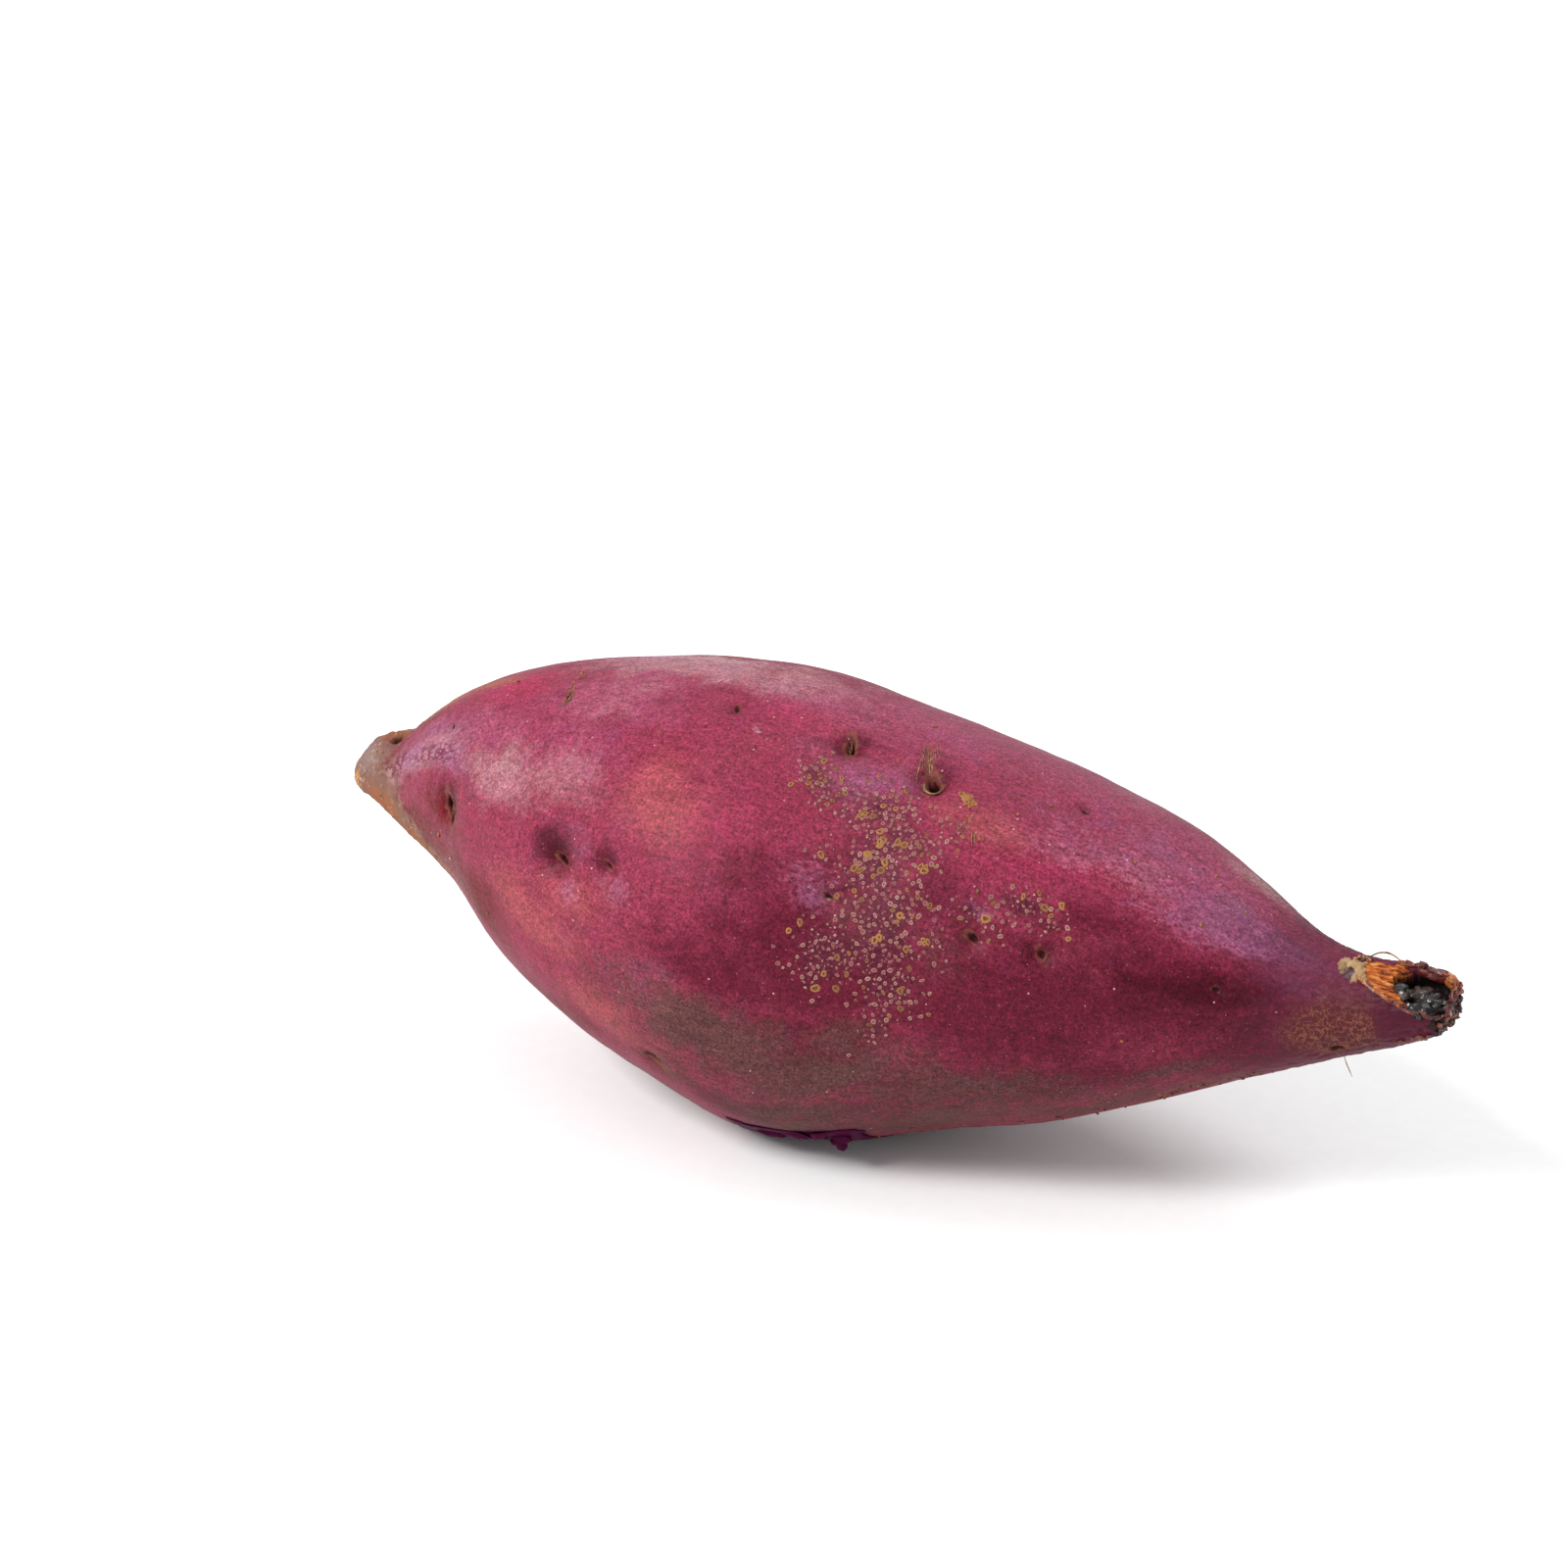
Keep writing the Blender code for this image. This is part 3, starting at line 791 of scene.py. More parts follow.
# The folds of the stub can mislead that step, so the topmost face has to look up
highest = max(grid.faces, key=lambda face: face.calc_center_median().z)
if highest.normal.z < 0:
    bmesh.ops.reverse_faces(grid, faces=grid.faces)
skin_mesh = bpy.data.meshes.new("purple_skin")
grid.to_mesh(skin_mesh)
skin_tree = BVHTree.FromBMesh(grid)
grid.free()
skin_mesh.shade_smooth()

root = bpy.data.objects.new("purple_skin", skin_mesh)
bpy.context.scene.collection.objects.link(root)
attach(root, "root")
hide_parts("sweet_potato")
skin_mesh.calc_loop_triangles()
print("skin has", len(skin_mesh.loop_triangles), "triangles")

# %% [markdown]
# ## Skin material
#
# Cooked sweet potato skin is a thin, tight, slightly waxy peel: satin, with a fine crazed grain,
# pale lenticels and darker blotches. The weights say where each pigment lies, and noise at the
# real sizes of blotches, mottling and grain breaks up every edge between them.

# %% Grains and weights of the skin
# Cooked peel: a satin, slightly waxy skin that keeps its pigment
material, tree, shader = new_material("purple_skin", Roughness=0.46, IOR=1.45, Specular_IOR_Level=0.11)
skin_mesh.materials.append(material)
skin_node = partial(add_node, tree)
position = skin_node("TexCoord").outputs["Object"]
drawn_out = skin_node("Mapping", {"Vector": position, "Scale": (0.2, 1.0, 1.0)})
far_off = skin_node("Mapping", {"Vector": position, "Location": (0.3, 0.7, 0.1)})

# Place, size in millimetres and detail, from wide clouds down to fine lengthwise fibres
GRAINS = {
    "cloud": (far_off, 13.0, 5.0),
    "haze": (far_off, 5.0, 5.0),
    "worm": (far_off, 0.9, 2.0),
    "fleck": (far_off, 0.30, 3.0),
    "blotch": (position, 9.0, 4.0),
    "mottle": (position, 2.4, 4.0),
    "grain": (position, 0.75, 3.0),
    "fine": (position, 0.38, 2.0),
    "streak": (drawn_out, 2.2, 5.0),
    "fibre": (drawn_out, 0.55, 3.0),
    "wrinkle": (drawn_out, 1.3, 3.0),
}
grains = {}
for name, (vector, size, detail) in GRAINS.items():
    scale = 1 / (size * MM)
    texture = {"Vector": vector, "Scale": scale, "Detail": detail, "Roughness": 0.6}
    grains[name] = skin_node("TexNoise", texture)

weight = {name: skin_node("Attribute", attribute_name=name).outputs["Fac"] for name in weights}
print(len(grains), "grains and", len(weight), "weights")

# %% Pigments laid over one another, with painted highlights, sheen and shade among them
# A pigment fades in between these two weights
EDGE_START, EDGE_END = 0.12, 0.88


def layered(colour, layers):
    """Lay pigments over a colour: each has a weight, the grain that breaks its edge and how much."""
    for pigment, where, grain, breaking, strength in layers:
        amount = weight[where]
        broken = skin_node("Math", {0: grains[grain], 1: breaking, 2: amount}, operation="MULTIPLY_ADD")
        edge = {"From Min": 0.5 * breaking + EDGE_START, "From Max": 0.5 * breaking + EDGE_END}
        factor = skin_node("MapRange", {"Value": broken, "To Max": strength, **edge},
                           interpolation_type="SMOOTHSTEP")
        # A grain this strong would also show where the weight is nothing
        if breaking > 1.0:
            present = skin_node("MapRange", {"Value": amount, "From Min": 0.02, "From Max": 0.2})
            factor = skin_node("Math", {0: factor, 1: present}, operation="MULTIPLY")
        pigment = linear(pigment) if isinstance(pigment, str) else pigment
        colour = skin_node("Mix", {"Factor": factor, "A": colour, "B": pigment}, data_type="RGBA")
    return colour


base = {"Factor": grains["blotch"], "A": linear("#6f1e33"), "B": linear("#7c2c41")}
colour = layered(skin_node("Mix", base, data_type="RGBA"), (
    ("#81384f", "plum", "mottle", 0.7, 0.95),
    # Lilac-grey, partly painted sheen on the upper neck
    ("#74405a", "lilac", "mottle", 0.7, 0.9),
    ("#8f5e66", "rose", "mottle", 0.7, 0.95),
    ("#8a2340", "hot", "mottle", 0.7, 0.95),
    ("#85383f", "coral", "mottle", 0.7, 0.95),
    ("#530f22", "wine", "mottle", 0.8, 0.97),
    ("#5b0a12", "blood", "mottle", 0.8, 0.97),
    # Black-red, and painted shade in the dimples of the eyes
    ("#3b0412", "deep", "mottle", 0.6, 0.95),
    ("#50302f", "dusk", "mottle", 0.8, 0.95),
    ("#522c2b", "earth", "mottle", 0.8, 0.95),
    ("#4b1928", "speckle", "mottle", 0.7, 0.8),
    # Pale bloom, and painted sheen along the top rim
    ("#98757c", "bloom", "grain", 1.0, 0.8),
    # Painted highlights below some eyes and beside the nub
    ("#84506c", "lavender", "grain", 1.0, 0.6),
    # Painted sheen in pale streaks along the root
    ("#86506a", "streak", "fibre", 2.2, 0.4),
))
print("pigments take", len(tree.nodes), "nodes so far")

# %% [markdown]
# ## Drifts, grain and frost
#
# No peel is as even as its pigments. Over some centimetres its hue drifts, and close by it is
# crazed, with flecks of pale, dry cuticle. A mix towards a fixed colour would grey all of it, so
# the drifts and the grain multiply the colour that is there, and only the frost adds a little.

# %% Drifts of hue, crazed grain and frost
# Slow drifts: earthy tan here, purple there, and a few short dark streaks along the root
DRIFTS = (
    ("cloud", 0.50, 0.70, (0.96, 1.30, 0.98), 0.55),
    ("haze", 0.52, 0.72, (0.80, 0.90, 1.15), 0.6),
    ("streak", 0.57, 0.66, (0.72, 0.62, 0.66), 0.75),
)
for grain, start, end, tint, strength in DRIFTS:
    span = {"From Min": start, "From Max": end, "To Max": strength}
    drift = skin_node("MapRange", {"Value": grains[grain], **span})
    tinted = skin_node("VectorMath", {0: colour, 1: tint}, operation="MULTIPLY")
    colour = skin_node("Mix", {"Factor": drift, "A": colour, "B": tinted}, data_type="RGBA")

# The crazed grain lightens and darkens the pigment itself, so its flecks stay as red as the skin
for grain, dark, pale in (("grain", 0.72, 1.28), ("fine", 0.45, 1.6), ("fibre", 0.75, 1.25)):
    span = {"From Min": 0.25, "From Max": 0.75, "To Min": dark, "To Max": pale}
    level = skin_node("MapRange", {"Value": grains[grain], **span})
    colour = skin_node("VectorMath", {"Vector": colour, "Scale": level}, operation="SCALE")

# Frost: flecks of dry, pale cuticle, thicker in some parts than in others
patchy = skin_node("Math", {0: grains["haze"], 1: 0.35, 2: grains["fleck"]}, operation="MULTIPLY_ADD")
frost = skin_node("MapRange", {"Value": patchy, "From Min": 0.68, "From Max": 0.86, "To Max": 0.75})
paler = {0: colour, 1: (1.45, 1.45, 1.45), 2: (0.005, 0.002, 0.003)}
dusted = skin_node("VectorMath", paler, operation="MULTIPLY_ADD")
colour = skin_node("Mix", {"Factor": frost, "A": colour, "B": dusted}, data_type="RGBA")
print("drifts, grain and frost bring it to", len(tree.nodes), "nodes")

# %% [markdown]
# ## Worm marks, painted crease shade, pores and dust of starch
#
# The neck carries brown worm-like marks, the skin beside the nub thin crimson lines of painted
# shade in its fine creases, and pale pores and dust lie all over. A noise near its middle value
# gives winding lines, and cells with a random colour each give dots of which only some are kept.
# Both need no picture.


# %% Worm marks, and painted shade in the creases
def thin_lines(grain, outer, inner, strength):
    """Thin winding lines: the places where a noise is near its middle value."""
    off_middle = skin_node("Math", {0: grains[grain], 1: 0.5}, operation="SUBTRACT")
    apart = skin_node("Math", {0: off_middle}, operation="ABSOLUTE")
    return skin_node("MapRange", {"Value": apart, "From Min": outer, "From Max": inner, "To Max": strength})


marks = thin_lines("worm", 0.05, 0.015, 0.9)
weight["marks"] = skin_node("Math", {0: marks, 1: weight["worm"]}, operation="MULTIPLY")
# Painted shade: thin lines that stand for the shade in fine creases
crease_shading = thin_lines("wrinkle", 0.09, 0.03, 1.0)
weight["crease_shading"] = skin_node("Math", {0: crease_shading, 1: weight["crease"]}, operation="MULTIPLY")
print("marks and creases bring it to", len(tree.nodes), "nodes")


# %% Pores and dust of starch
def dots(spacing, outer, inner, strength, channel, crowd):
    """Round dots, one to a cell; the cell's own random colour picks the cells that have one."""
    cells = skin_node("TexVoronoi", {"Vector": position, "Scale": 1 / (spacing * MM)})
    dot = skin_node("MapRange", {"Value": cells, "From Min": outer, "From Max": inner, "To Max": strength})
    chance = skin_node("SeparateColor", {"Color": cells.outputs["Color"]}).outputs[channel]
    picked = skin_node("Math", {0: chance, 1: crowd}, operation="LESS_THAN")
    return skin_node("Math", {0: dot, 1: picked}, operation="MULTIPLY")


# Pores, about a quarter of a millimetre wide: spacing in mm, radius as a share of the spacing,
# share of the cells that have one, colour and strength
PORES = ((0.9, 0.13, 0.35, "#a5707c", 0.6), (2.6, 0.07, 0.6, "#c59a97", 0.8))
for spacing, radius, crowd, hex_code, strength in PORES:
    pore = dots(spacing, radius, radius * 0.5, strength, "Red", crowd)
    colour = skin_node("Mix", {"Factor": pore, "A": colour, "B": linear(hex_code)}, data_type="RGBA")

# Dust of starch between the lenticels of the speckled patches
DUST_SPACING, DUST_STRENGTH = 0.62, 0.75
crowding = {"Value": weight["speckle"], "From Min": 0.15, "From Max": 0.7, "To Max": 0.7}
crowded = skin_node("MapRange", crowding)
dust = dots(DUST_SPACING, 0.34, 0.2, 1.0, "Green", crowded)
dust = skin_node("Math", {0: dust, 1: DUST_STRENGTH}, operation="MULTIPLY")
colour = skin_node("Mix", {"Factor": dust, "A": colour, "B": linear("#7c4c4a")}, data_type="RGBA")
print("pores and dust bring it to", len(tree.nodes), "nodes")

# %% [markdown]
# ## Both ends of the skin
#
# The nub is dead cork, the neck brown and fibrous, and the stub shows torn flesh that the oven
# turned to gold and char. They lie on top of the skin's own red, so they are laid on last, with
# the same function, and they also set how much each part shines.

# %% Cork, rust, scab, flesh and char
# Golden and burnt streaks of the torn flesh
flesh = skin_node("ValToRGB", {"Fac": grains["fibre"]})
set_stops(flesh, ((0.36, "#48190b"), (0.46, "#8c4218"), (0.56, "#ab6129"), (0.68, "#c48b4e")))

colour = layered(colour, (
    ("#46182a", "neck", "wrinkle", 1.4, 0.62),
    ("#4a231e", "worm", "haze", 1.0, 0.6),
    ("#7a4a38", "marks", "haze", 1.2, 0.75),
    ("#7a5544", "cork", "fibre", 1.0, 0.9),
    ("#8d726a", "cork", "mottle", 1.6, 0.6),
    ("#4a2a1e", "cork", "wrinkle", 3.0, 0.45),
    ("#7c6a66", "ash", "grain", 1.4, 0.75),
    ("#8a5230", "rust", "grain", 1.0, 0.8),
    ("#b5823c", "yellow", "grain", 0.6, 0.85),
    # Painted shade along the fine creases beside the nub
    ("#5e1832", "crease_shading", "fine", 0.5, 0.85),
    ("#6f3f30", "rim", "grain", 2.4, 0.7),
    ("#93775a", "scab", "grain", 0.5, 0.97),
    ("#54424c", "core", "fine", 0.4, 0.9),
    ("#260d0b", "pit", "fine", 0.4, 0.95),
    ("#3c0828", "damp", "mottle", 0.3, 0.97),
    (flesh, "raw", "grain", 0.4, 1.0),
    ("#241512", "tip", "grain", 0.6, 0.9),
    ("#120d0d", "char", "grain", 0.3, 1.0),
))
tree.links.new(colour.outputs["Result"], shader.inputs["Base Color"])
print("both ends bring it to", len(tree.nodes), "nodes")

# %% Shine and fine relief of the skin
SATIN = {"From Min": 0.25, "From Max": 0.75, "To Min": 0.38, "To Max": 0.56}
ROUGHNESS = {"dusk": 0.62, "bloom": 0.7, "cork": 0.85, "damp": 0.5, "raw": 0.5, "char": 0.4}
roughness = skin_node("MapRange", {"Value": grains["grain"], **SATIN})
for where, value in ROUGHNESS.items():
    mixed = {"Factor": weight[where], "A": roughness, "B": value}
    roughness = skin_node("Mix", mixed, data_type="FLOAT")
tree.links.new(roughness.outputs["Result"], shader.inputs["Roughness"])

# Relief that is finer than the mesh, heights in millimetres
FINE_RELIEF = {"mottle": 0.10, "grain": 0.07, "fibre": 0.03}
below = {}
for grain, height in FINE_RELIEF.items():
    relief = skin_node("Bump", {"Height": grains[grain], "Distance": height * MM, **below})
    below = {"Normal": relief}
tree.links.new(relief.outputs["Normal"], shader.inputs["Normal"])
print("skin material has", len(tree.nodes), "nodes")

# %% [markdown]
# ## Small pieces on the skin
#
# Lenticels, crumbs of cork and burnt scraps stand on the skin, so they are small solids of their
# own. Particles could scatter them, but they are lost in an export; a seeded draw that sends a
# ray on to the skin for each one leaves plain meshes, and puts them where the photograph has them.


# %% Places on the skin
# Rays start this many millimetres out; turns are drawn up to this many radians
RAY_LENGTH = 60.0
FULL_TURN = 6.3


def on_skin(place, side):
    """Point and outward direction of the skin, in millimetres, at a place along and round."""
    start = middle(np.array([place]))[0] + shift
    away = outward(np.array([side]))[0]
    origin = Vector(start + away * RAY_LENGTH) * MM
    point, normal = skin_tree.ray_cast(origin, -Vector(away).normalized())[:2]
    return point / MM, normal


def near_skin(place):
    """Point of the skin nearest to a place in millimetres, and its outward direction."""
    point, normal = skin_tree.find_nearest(Vector(place) * MM)[:2]
    return point / MM, normal


def seat(point, normal, turn, lift=0.0, lean=0.0):
    """Matrix in metres that sets a piece down on the skin, turned about the outward direction."""
    facing = normal.to_track_quat("Z", "Y").to_matrix().to_4x4()
    turned_by = Matrix.Rotation(turn, 4, "Z") @ Matrix.Rotation(lean, 4, "Y")
    return Matrix.Translation((point + normal * lift) * MM) @ facing @ turned_by @ Matrix.Scale(MM, 4)


def level_at(point):
    """Matrix in metres that sets a piece level at a point in millimetres."""
    return Matrix.Translation(Vector(point) * MM) @ Matrix.Scale(MM, 4)


topmost = on_skin(79.0, 90.0)[0]
print("the top of the belly is", round(topmost.z, 2), "mm above the table")

# %% Shapes: a crumb, a torn scrap and a ring
SCRAP_SIDES = 7
TONE_SPREAD = 0.06
# Each step of a ring goes inward and upward: the rim's slope, its crest, the sunken middle
RING_STEPS = ((0.20, 0.40), (0.22, 0.05), (0.14, -0.28))
RING_MIDDLE_PALE, RING_MIDDLE_DARK = 0.5, 0.02


def tone_layer(body):
    """The layer of a bmesh that holds how pale each point is, from 0 to 1."""
    return body.verts.layers.float.get("tone") or body.verts.layers.float.new("tone")


def crumb(body, matrix, size, draw, tone, finer=1, unevenness=0.3):
    """An uneven crumb, its size given as three half lengths in millimetres."""
    layer = tone_layer(body)
    corners = bmesh.ops.create_icosphere(body, subdivisions=finer, radius=1.0)["verts"]
    offset = Vector((draw.uniform(0, 50), draw.uniform(0, 50), draw.uniform(0, 50)))
    for corner in corners:
        corner.co *= 1 + unevenness * noise.noise(corner.co * 1.4 + offset) * 2
        corner[layer] = tone
    bmesh.ops.transform(body, verts=corners, matrix=matrix @ Matrix.Diagonal((*size, 1.0)))


def flake(body, matrix, length, width, thickness, draw, tone, curl=0.15):
    """A torn scrap: an uneven plate with seven corners, raised in its middle."""
    layer = tone_layer(body)
    corners = bmesh.ops.create_circle(body, cap_ends=True, segments=SCRAP_SIDES, radius=0.5)["verts"]
    for corner in corners:
        corner.co *= draw.uniform(0.6, 1.25)
        corner.co.z = draw.uniform(-0.5, 0.5) * curl
    poked = bmesh.ops.poke(body, faces=[corners[0].link_faces[0]])
    poked["verts"][0].co.z += curl
    shell = bmesh.ops.solidify(body, geom=poked["faces"], thickness=thickness / width)
    faces = [piece for piece in (*shell["geom"], *poked["faces"]) if isinstance(piece, bmesh.types.BMFace)]
    # A set has no order of its own, and every run has to draw the same tones
    body.verts.index_update()
    points = sorted({corner for face in faces for corner in face.verts}, key=lambda corner: corner.index)
    for corner in points:
        corner[layer] = min(1.0, max(0.0, tone + draw.uniform(-TONE_SPREAD, TONE_SPREAD)))
    stretch = Matrix.Diagonal((length, width, width, 1.0))
    bmesh.ops.transform(body, verts=points, matrix=matrix @ stretch)


def scab_ring(body, matrix, size, draw, tone):
    """A dried scab: seven uneven sides, a raised rim and a darker, sunken middle."""
    layer = tone_layer(body)
    corners = bmesh.ops.create_circle(body, cap_ends=True, segments=SCRAP_SIDES, radius=1.0)["verts"]
    for corner in corners:
        corner.co *= draw.uniform(0.65, 1.2)
    face = corners[0].link_faces[0]
    face.normal_update()
    if face.normal.z < 0:
        face.normal_flip()
    for inward, upward in RING_STEPS:
        bmesh.ops.inset_individual(body, faces=[face], thickness=inward, depth=upward)
        corners += list(face.verts)
    for corner in corners:
        corner[layer] = tone
    for corner in face.verts:
        corner[layer] = RING_MIDDLE_PALE if tone > 0.5 else RING_MIDDLE_DARK
    bmesh.ops.transform(body, verts=corners, matrix=matrix @ Matrix.Diagonal((*size, 1.0)))


# %% From a bmesh to a piece of the root
BOX_LOW, BOX_HIGH = cad_low * MM, cad_high * MM


def inside_box(point):
    """The place inside the solid's box that is nearest to a point in metres."""
    return [min(max(value, low), high) for value, low, high in zip(point, BOX_LOW, BOX_HIGH)]


def finish_piece(body, name, material, smooth=True):
    """Turn a bmesh into a piece that rides with the root, kept inside the solid's box."""
    for corner in body.verts:
        corner.co = inside_box(corner.co)
    bmesh.ops.recalc_face_normals(body, faces=body.faces)
    mesh = bpy.data.meshes.new(name)
    body.to_mesh(mesh)
    body.free()
    if smooth:
        mesh.shade_smooth()
    add_piece(mesh, name, material)


def add_piece(mesh, name, material):
    """Link a mesh as a piece of the root."""
    mesh.materials.append(material)
    piece = bpy.data.objects.new(name, mesh)
    bpy.context.scene.collection.objects.link(piece)
    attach(piece, "root")
    mesh.calc_loop_triangles()
    print(name, "has", len(mesh.loop_triangles), "triangles")


# %% Material of pieces that carry their own tones
def toned_material(name, tones, grain_size, contrast, relief_height, **sockets):
    """A material that takes its colour from each piece's own tone, with grain and relief in it."""
    material, tree, shader = new_material(name, **sockets)
    position = add_node(tree, "TexCoord").outputs["Object"]
    tone = add_node(tree, "Attribute", attribute_name="tone").outputs["Fac"]
    texture = {"Vector": position, "Scale": 1 / (grain_size * MM), "Detail": 3.0}
    grain = add_node(tree, "TexNoise", texture)
    shifted = add_node(tree, "Math", {0: grain, 1: contrast, 2: tone}, operation="MULTIPLY_ADD")
    centred = add_node(tree, "Math", {0: shifted, 1: contrast / 2}, operation="SUBTRACT")
    ramp = add_node(tree, "ValToRGB", {"Fac": centred})
    set_stops(ramp, tones)
    tree.links.new(ramp.outputs["Color"], shader.inputs["Base Color"])
    relief = add_node(tree, "Bump", {"Height": grain, "Distance": relief_height * MM})
    tree.links.new(relief.outputs["Normal"], shader.inputs["Normal"])
    print(name, "runs through", len(tones), "tones")
    return material


# %% [markdown]
# ## Lenticels and scabs
#
# Where the skin had cracked, starchy lenticels dried to pale crumbs, half a millimetre to a
# millimetre wide, with larger ochre scabs between them. A pattern in the colour alone would look
# printed, so each is a small solid: the least ones are flattened crumbs of twenty faces, the
# others rings with a raised rim. They are drawn at random and kept where the speckle weight is
# high.

# %% Lenticels
# Dried starch: matt, from ochre scab through pinkish beige to nearly white
STARCH_TONES = ((0.02, "#562a16"), (0.3, "#94642f"), (0.5, "#6e3138"), (0.75, "#8a5a52"), (0.98, "#9a756b"))
starch = toned_material("dried_starch", STARCH_TONES, grain_size=0.35, contrast=0.35,
                        relief_height=0.03, Roughness=0.8)
SPECK_TRIES = 18000
SPECK_GAP = 0.66
SPECK_ALONG, SPECK_AROUND = (62.0, 134.0), (0.0, 195.0)
CROWDING, CROWDING_POWER = 2.4, 1.4
OCHRE_SHARE = 0.13
RING_FROM = 0.3
RING_HEIGHT, CRUMB_HEIGHT = 0.28, 0.13

draw = random.Random(5)
tries = np.array([(draw.uniform(*SPECK_ALONG), draw.uniform(*SPECK_AROUND), draw.random())
                  for _ in range(SPECK_TRIES)])
try_points = bare_points(tries[:, 0], tries[:, 1])
crowding = blush(BLUSHES["speckle"], tries[:, 0], tries[:, 1], stray(try_points))
kept = []
for number in np.nonzero(tries[:, 2] < CROWDING * crowding ** CROWDING_POWER)[0]:
    gaps = np.linalg.norm(try_points[kept] - try_points[number], axis=1)
    if gaps.min(initial=SPECK_GAP) >= SPECK_GAP:
        kept.append(number)

specks = bmesh.new()
for number in kept:
    place, side, _ = tries[number]
    ochre = draw.random() < OCHRE_SHARE
    radius = draw.uniform(0.36, 0.74) if ochre else draw.uniform(0.21, 0.48)
    matrix = seat(*on_skin(place, side), draw.uniform(0, FULL_TURN), lift=0.01)
    tone = draw.uniform(0.1, 0.32) if ochre else draw.uniform(0.6, 0.95)
    if radius > RING_FROM:
        size = (radius, radius * draw.uniform(0.6, 1.0), RING_HEIGHT)
        scab_ring(specks, matrix, size, draw, tone)
    else:
        size = (radius, radius * draw.uniform(0.55, 1.0), CRUMB_HEIGHT)
        crumb(specks, matrix, size, draw, tone, unevenness=0.4)
print(len(kept), "lenticels")

# %% Ochre scabs among the lenticels, the larger ones of three rings
# Along, around, radius
SCABS = (
    (104.7, 133, 0.95), (103, 137, 0.85), (100.4, 126, 0.75), (92.3, 119, 0.55), (95.5, 118, 0.6),
    (100, 114, 0.5), (111.6, 138, 0.85), (109.5, 140, 0.55), (113, 137, 0.5), (112.3, 146, 0.65),
    (109.8, 155, 0.65), (107.5, 160, 0.9), (114.4, 159, 0.8), (118.1, 150, 0.55), (122.7, 155, 0.55),
    (115.4, 131, 0.5), (103.1, 147, 0.65), (111.9, 152, 0.65), (112.4, 113.2, 0.8), (113.2, 114.4, 0.9),
    (114.1, 114.8, 0.85), (113.5, 112.8, 0.8),
)
LARGE_SCAB = 0.7
for place, side, radius in SCABS:
    for _ in range(3 if radius > LARGE_SCAB else 1):
        off = 0.5 * radius
        beside = place + draw.uniform(-off, off), side + draw.uniform(-2.0, 2.0) * off
        matrix = seat(*on_skin(*beside), draw.uniform(0, FULL_TURN), lift=0.02)
        size = (radius * 0.75, radius * draw.uniform(0.45, 0.7), 0.35)
        scab_ring(specks, matrix, size, draw, draw.uniform(0.2, 0.34))
print(len(SCABS), "scabs among the lenticels")

# %% Single scabs outside the crowded patches, mostly ochre
# Along, around, radius
STRAYS = (
    (137.2, 113, 0.3), (123.4, 104, 0.35), (146.8, 96, 0.3), (152.5, 107, 0.25), (148, 100, 0.25),
    (44.3, 97, 0.25), (44.6, 100, 0.3), (44.8, 103, 0.25), (45.1, 106, 0.3), (45.4, 109, 0.3),
    (45.8, 113, 0.35), (92.9, 121, 0.5), (120.5, 113, 0.3), (130, 119, 0.3), (119.6, 141, 0.35),
    (121.5, 143, 0.3), (26.5, 186, 0.4), (40, 195, 0.3), (101.2, 86, 0.35), (33, 101, 0.45),
    (65.5, 118, 0.2), (66.6, 121, 0.2), (83, 114, 0.25), (56, 205, 0.3), (44, 96, 0.3), (45.5, 99, 0.25),
    (148, 127, 0.3), (141, 190, 0.25),
)
for place, side, radius in STRAYS:
    matrix = seat(*on_skin(place, side), draw.uniform(0, FULL_TURN), lift=0.02)
    size = (radius, radius * 0.65, 0.2)
    crumb(specks, matrix, size, draw, draw.uniform(0.05, 0.35), finer=2, unevenness=0.4)
print(len(STRAYS), "single scabs")
finish_piece(specks, "starch_specks", starch)

# %% [markdown]
# ## The healed scab
#
# Beside the cut an old wound had closed with a roll of callus round a bruised core. The fine mesh
# of the skin carries its low mound, and a few overlapping crumbs give the lumpy roll itself,
# which stands too steep for a surface that can only rise straight up.

# %% The healed scab beside the cut
# Callus: matt, dry and woody, from the grey of the bruise to beige
CALLUS_TONES = ((0.02, "#3c3038"), (0.3, "#5c4744"), (0.5, "#7c5f44"), (0.75, "#957650"), (0.98, "#a98c68"))
callus = toned_material("healed_callus", CALLUS_TONES, grain_size=0.9, contrast=0.35,
                        relief_height=0.03, Roughness=0.8)
# Along, around, radius and tone
CALLUS_LUMPS = (
    (167.2, 104, 0.95, 0.7), (167.9, 106, 0.9, 0.78), (168.6, 105, 0.8, 0.74), (169.2, 108, 0.8, 0.7),
    (169.6, 113, 0.75, 0.76), (170, 117, 0.7, 0.7), (170.4, 121, 0.6, 0.6), (170.9, 125, 0.5, 0.5),
    (167, 109, 0.7, 0.62), (167.2, 114, 0.6, 0.5), (167.4, 119, 0.45, 0.4), (168.6, 117, 0.65, 0.25),
    (168.5, 121, 0.6, 0.08),
)
CALLUS_DEPTH = 0.06
draw = random.Random(17)
roll = bmesh.new()
for place, side, radius, tone in CALLUS_LUMPS:
    matrix = seat(*on_skin(place, side), draw.uniform(0, FULL_TURN), lift=-CALLUS_DEPTH)
    size = (radius, radius * draw.uniform(0.85, 1.0), 0.34 if tone > 0.35 else 0.2)
    crumb(roll, matrix, size, draw, tone, finer=3, unevenness=0.22)
finish_piece(roll, "healed_scab", callus)

# %% [markdown]
# ## Threads
#
# Dry root hairs and torn fibres are thinner than half a millimetre. A curve with a round bevel
# draws each one along a few points and thins out towards its ends; then it is turned to a mesh.


# %% Helpers for threads
THINNEST = 0.35


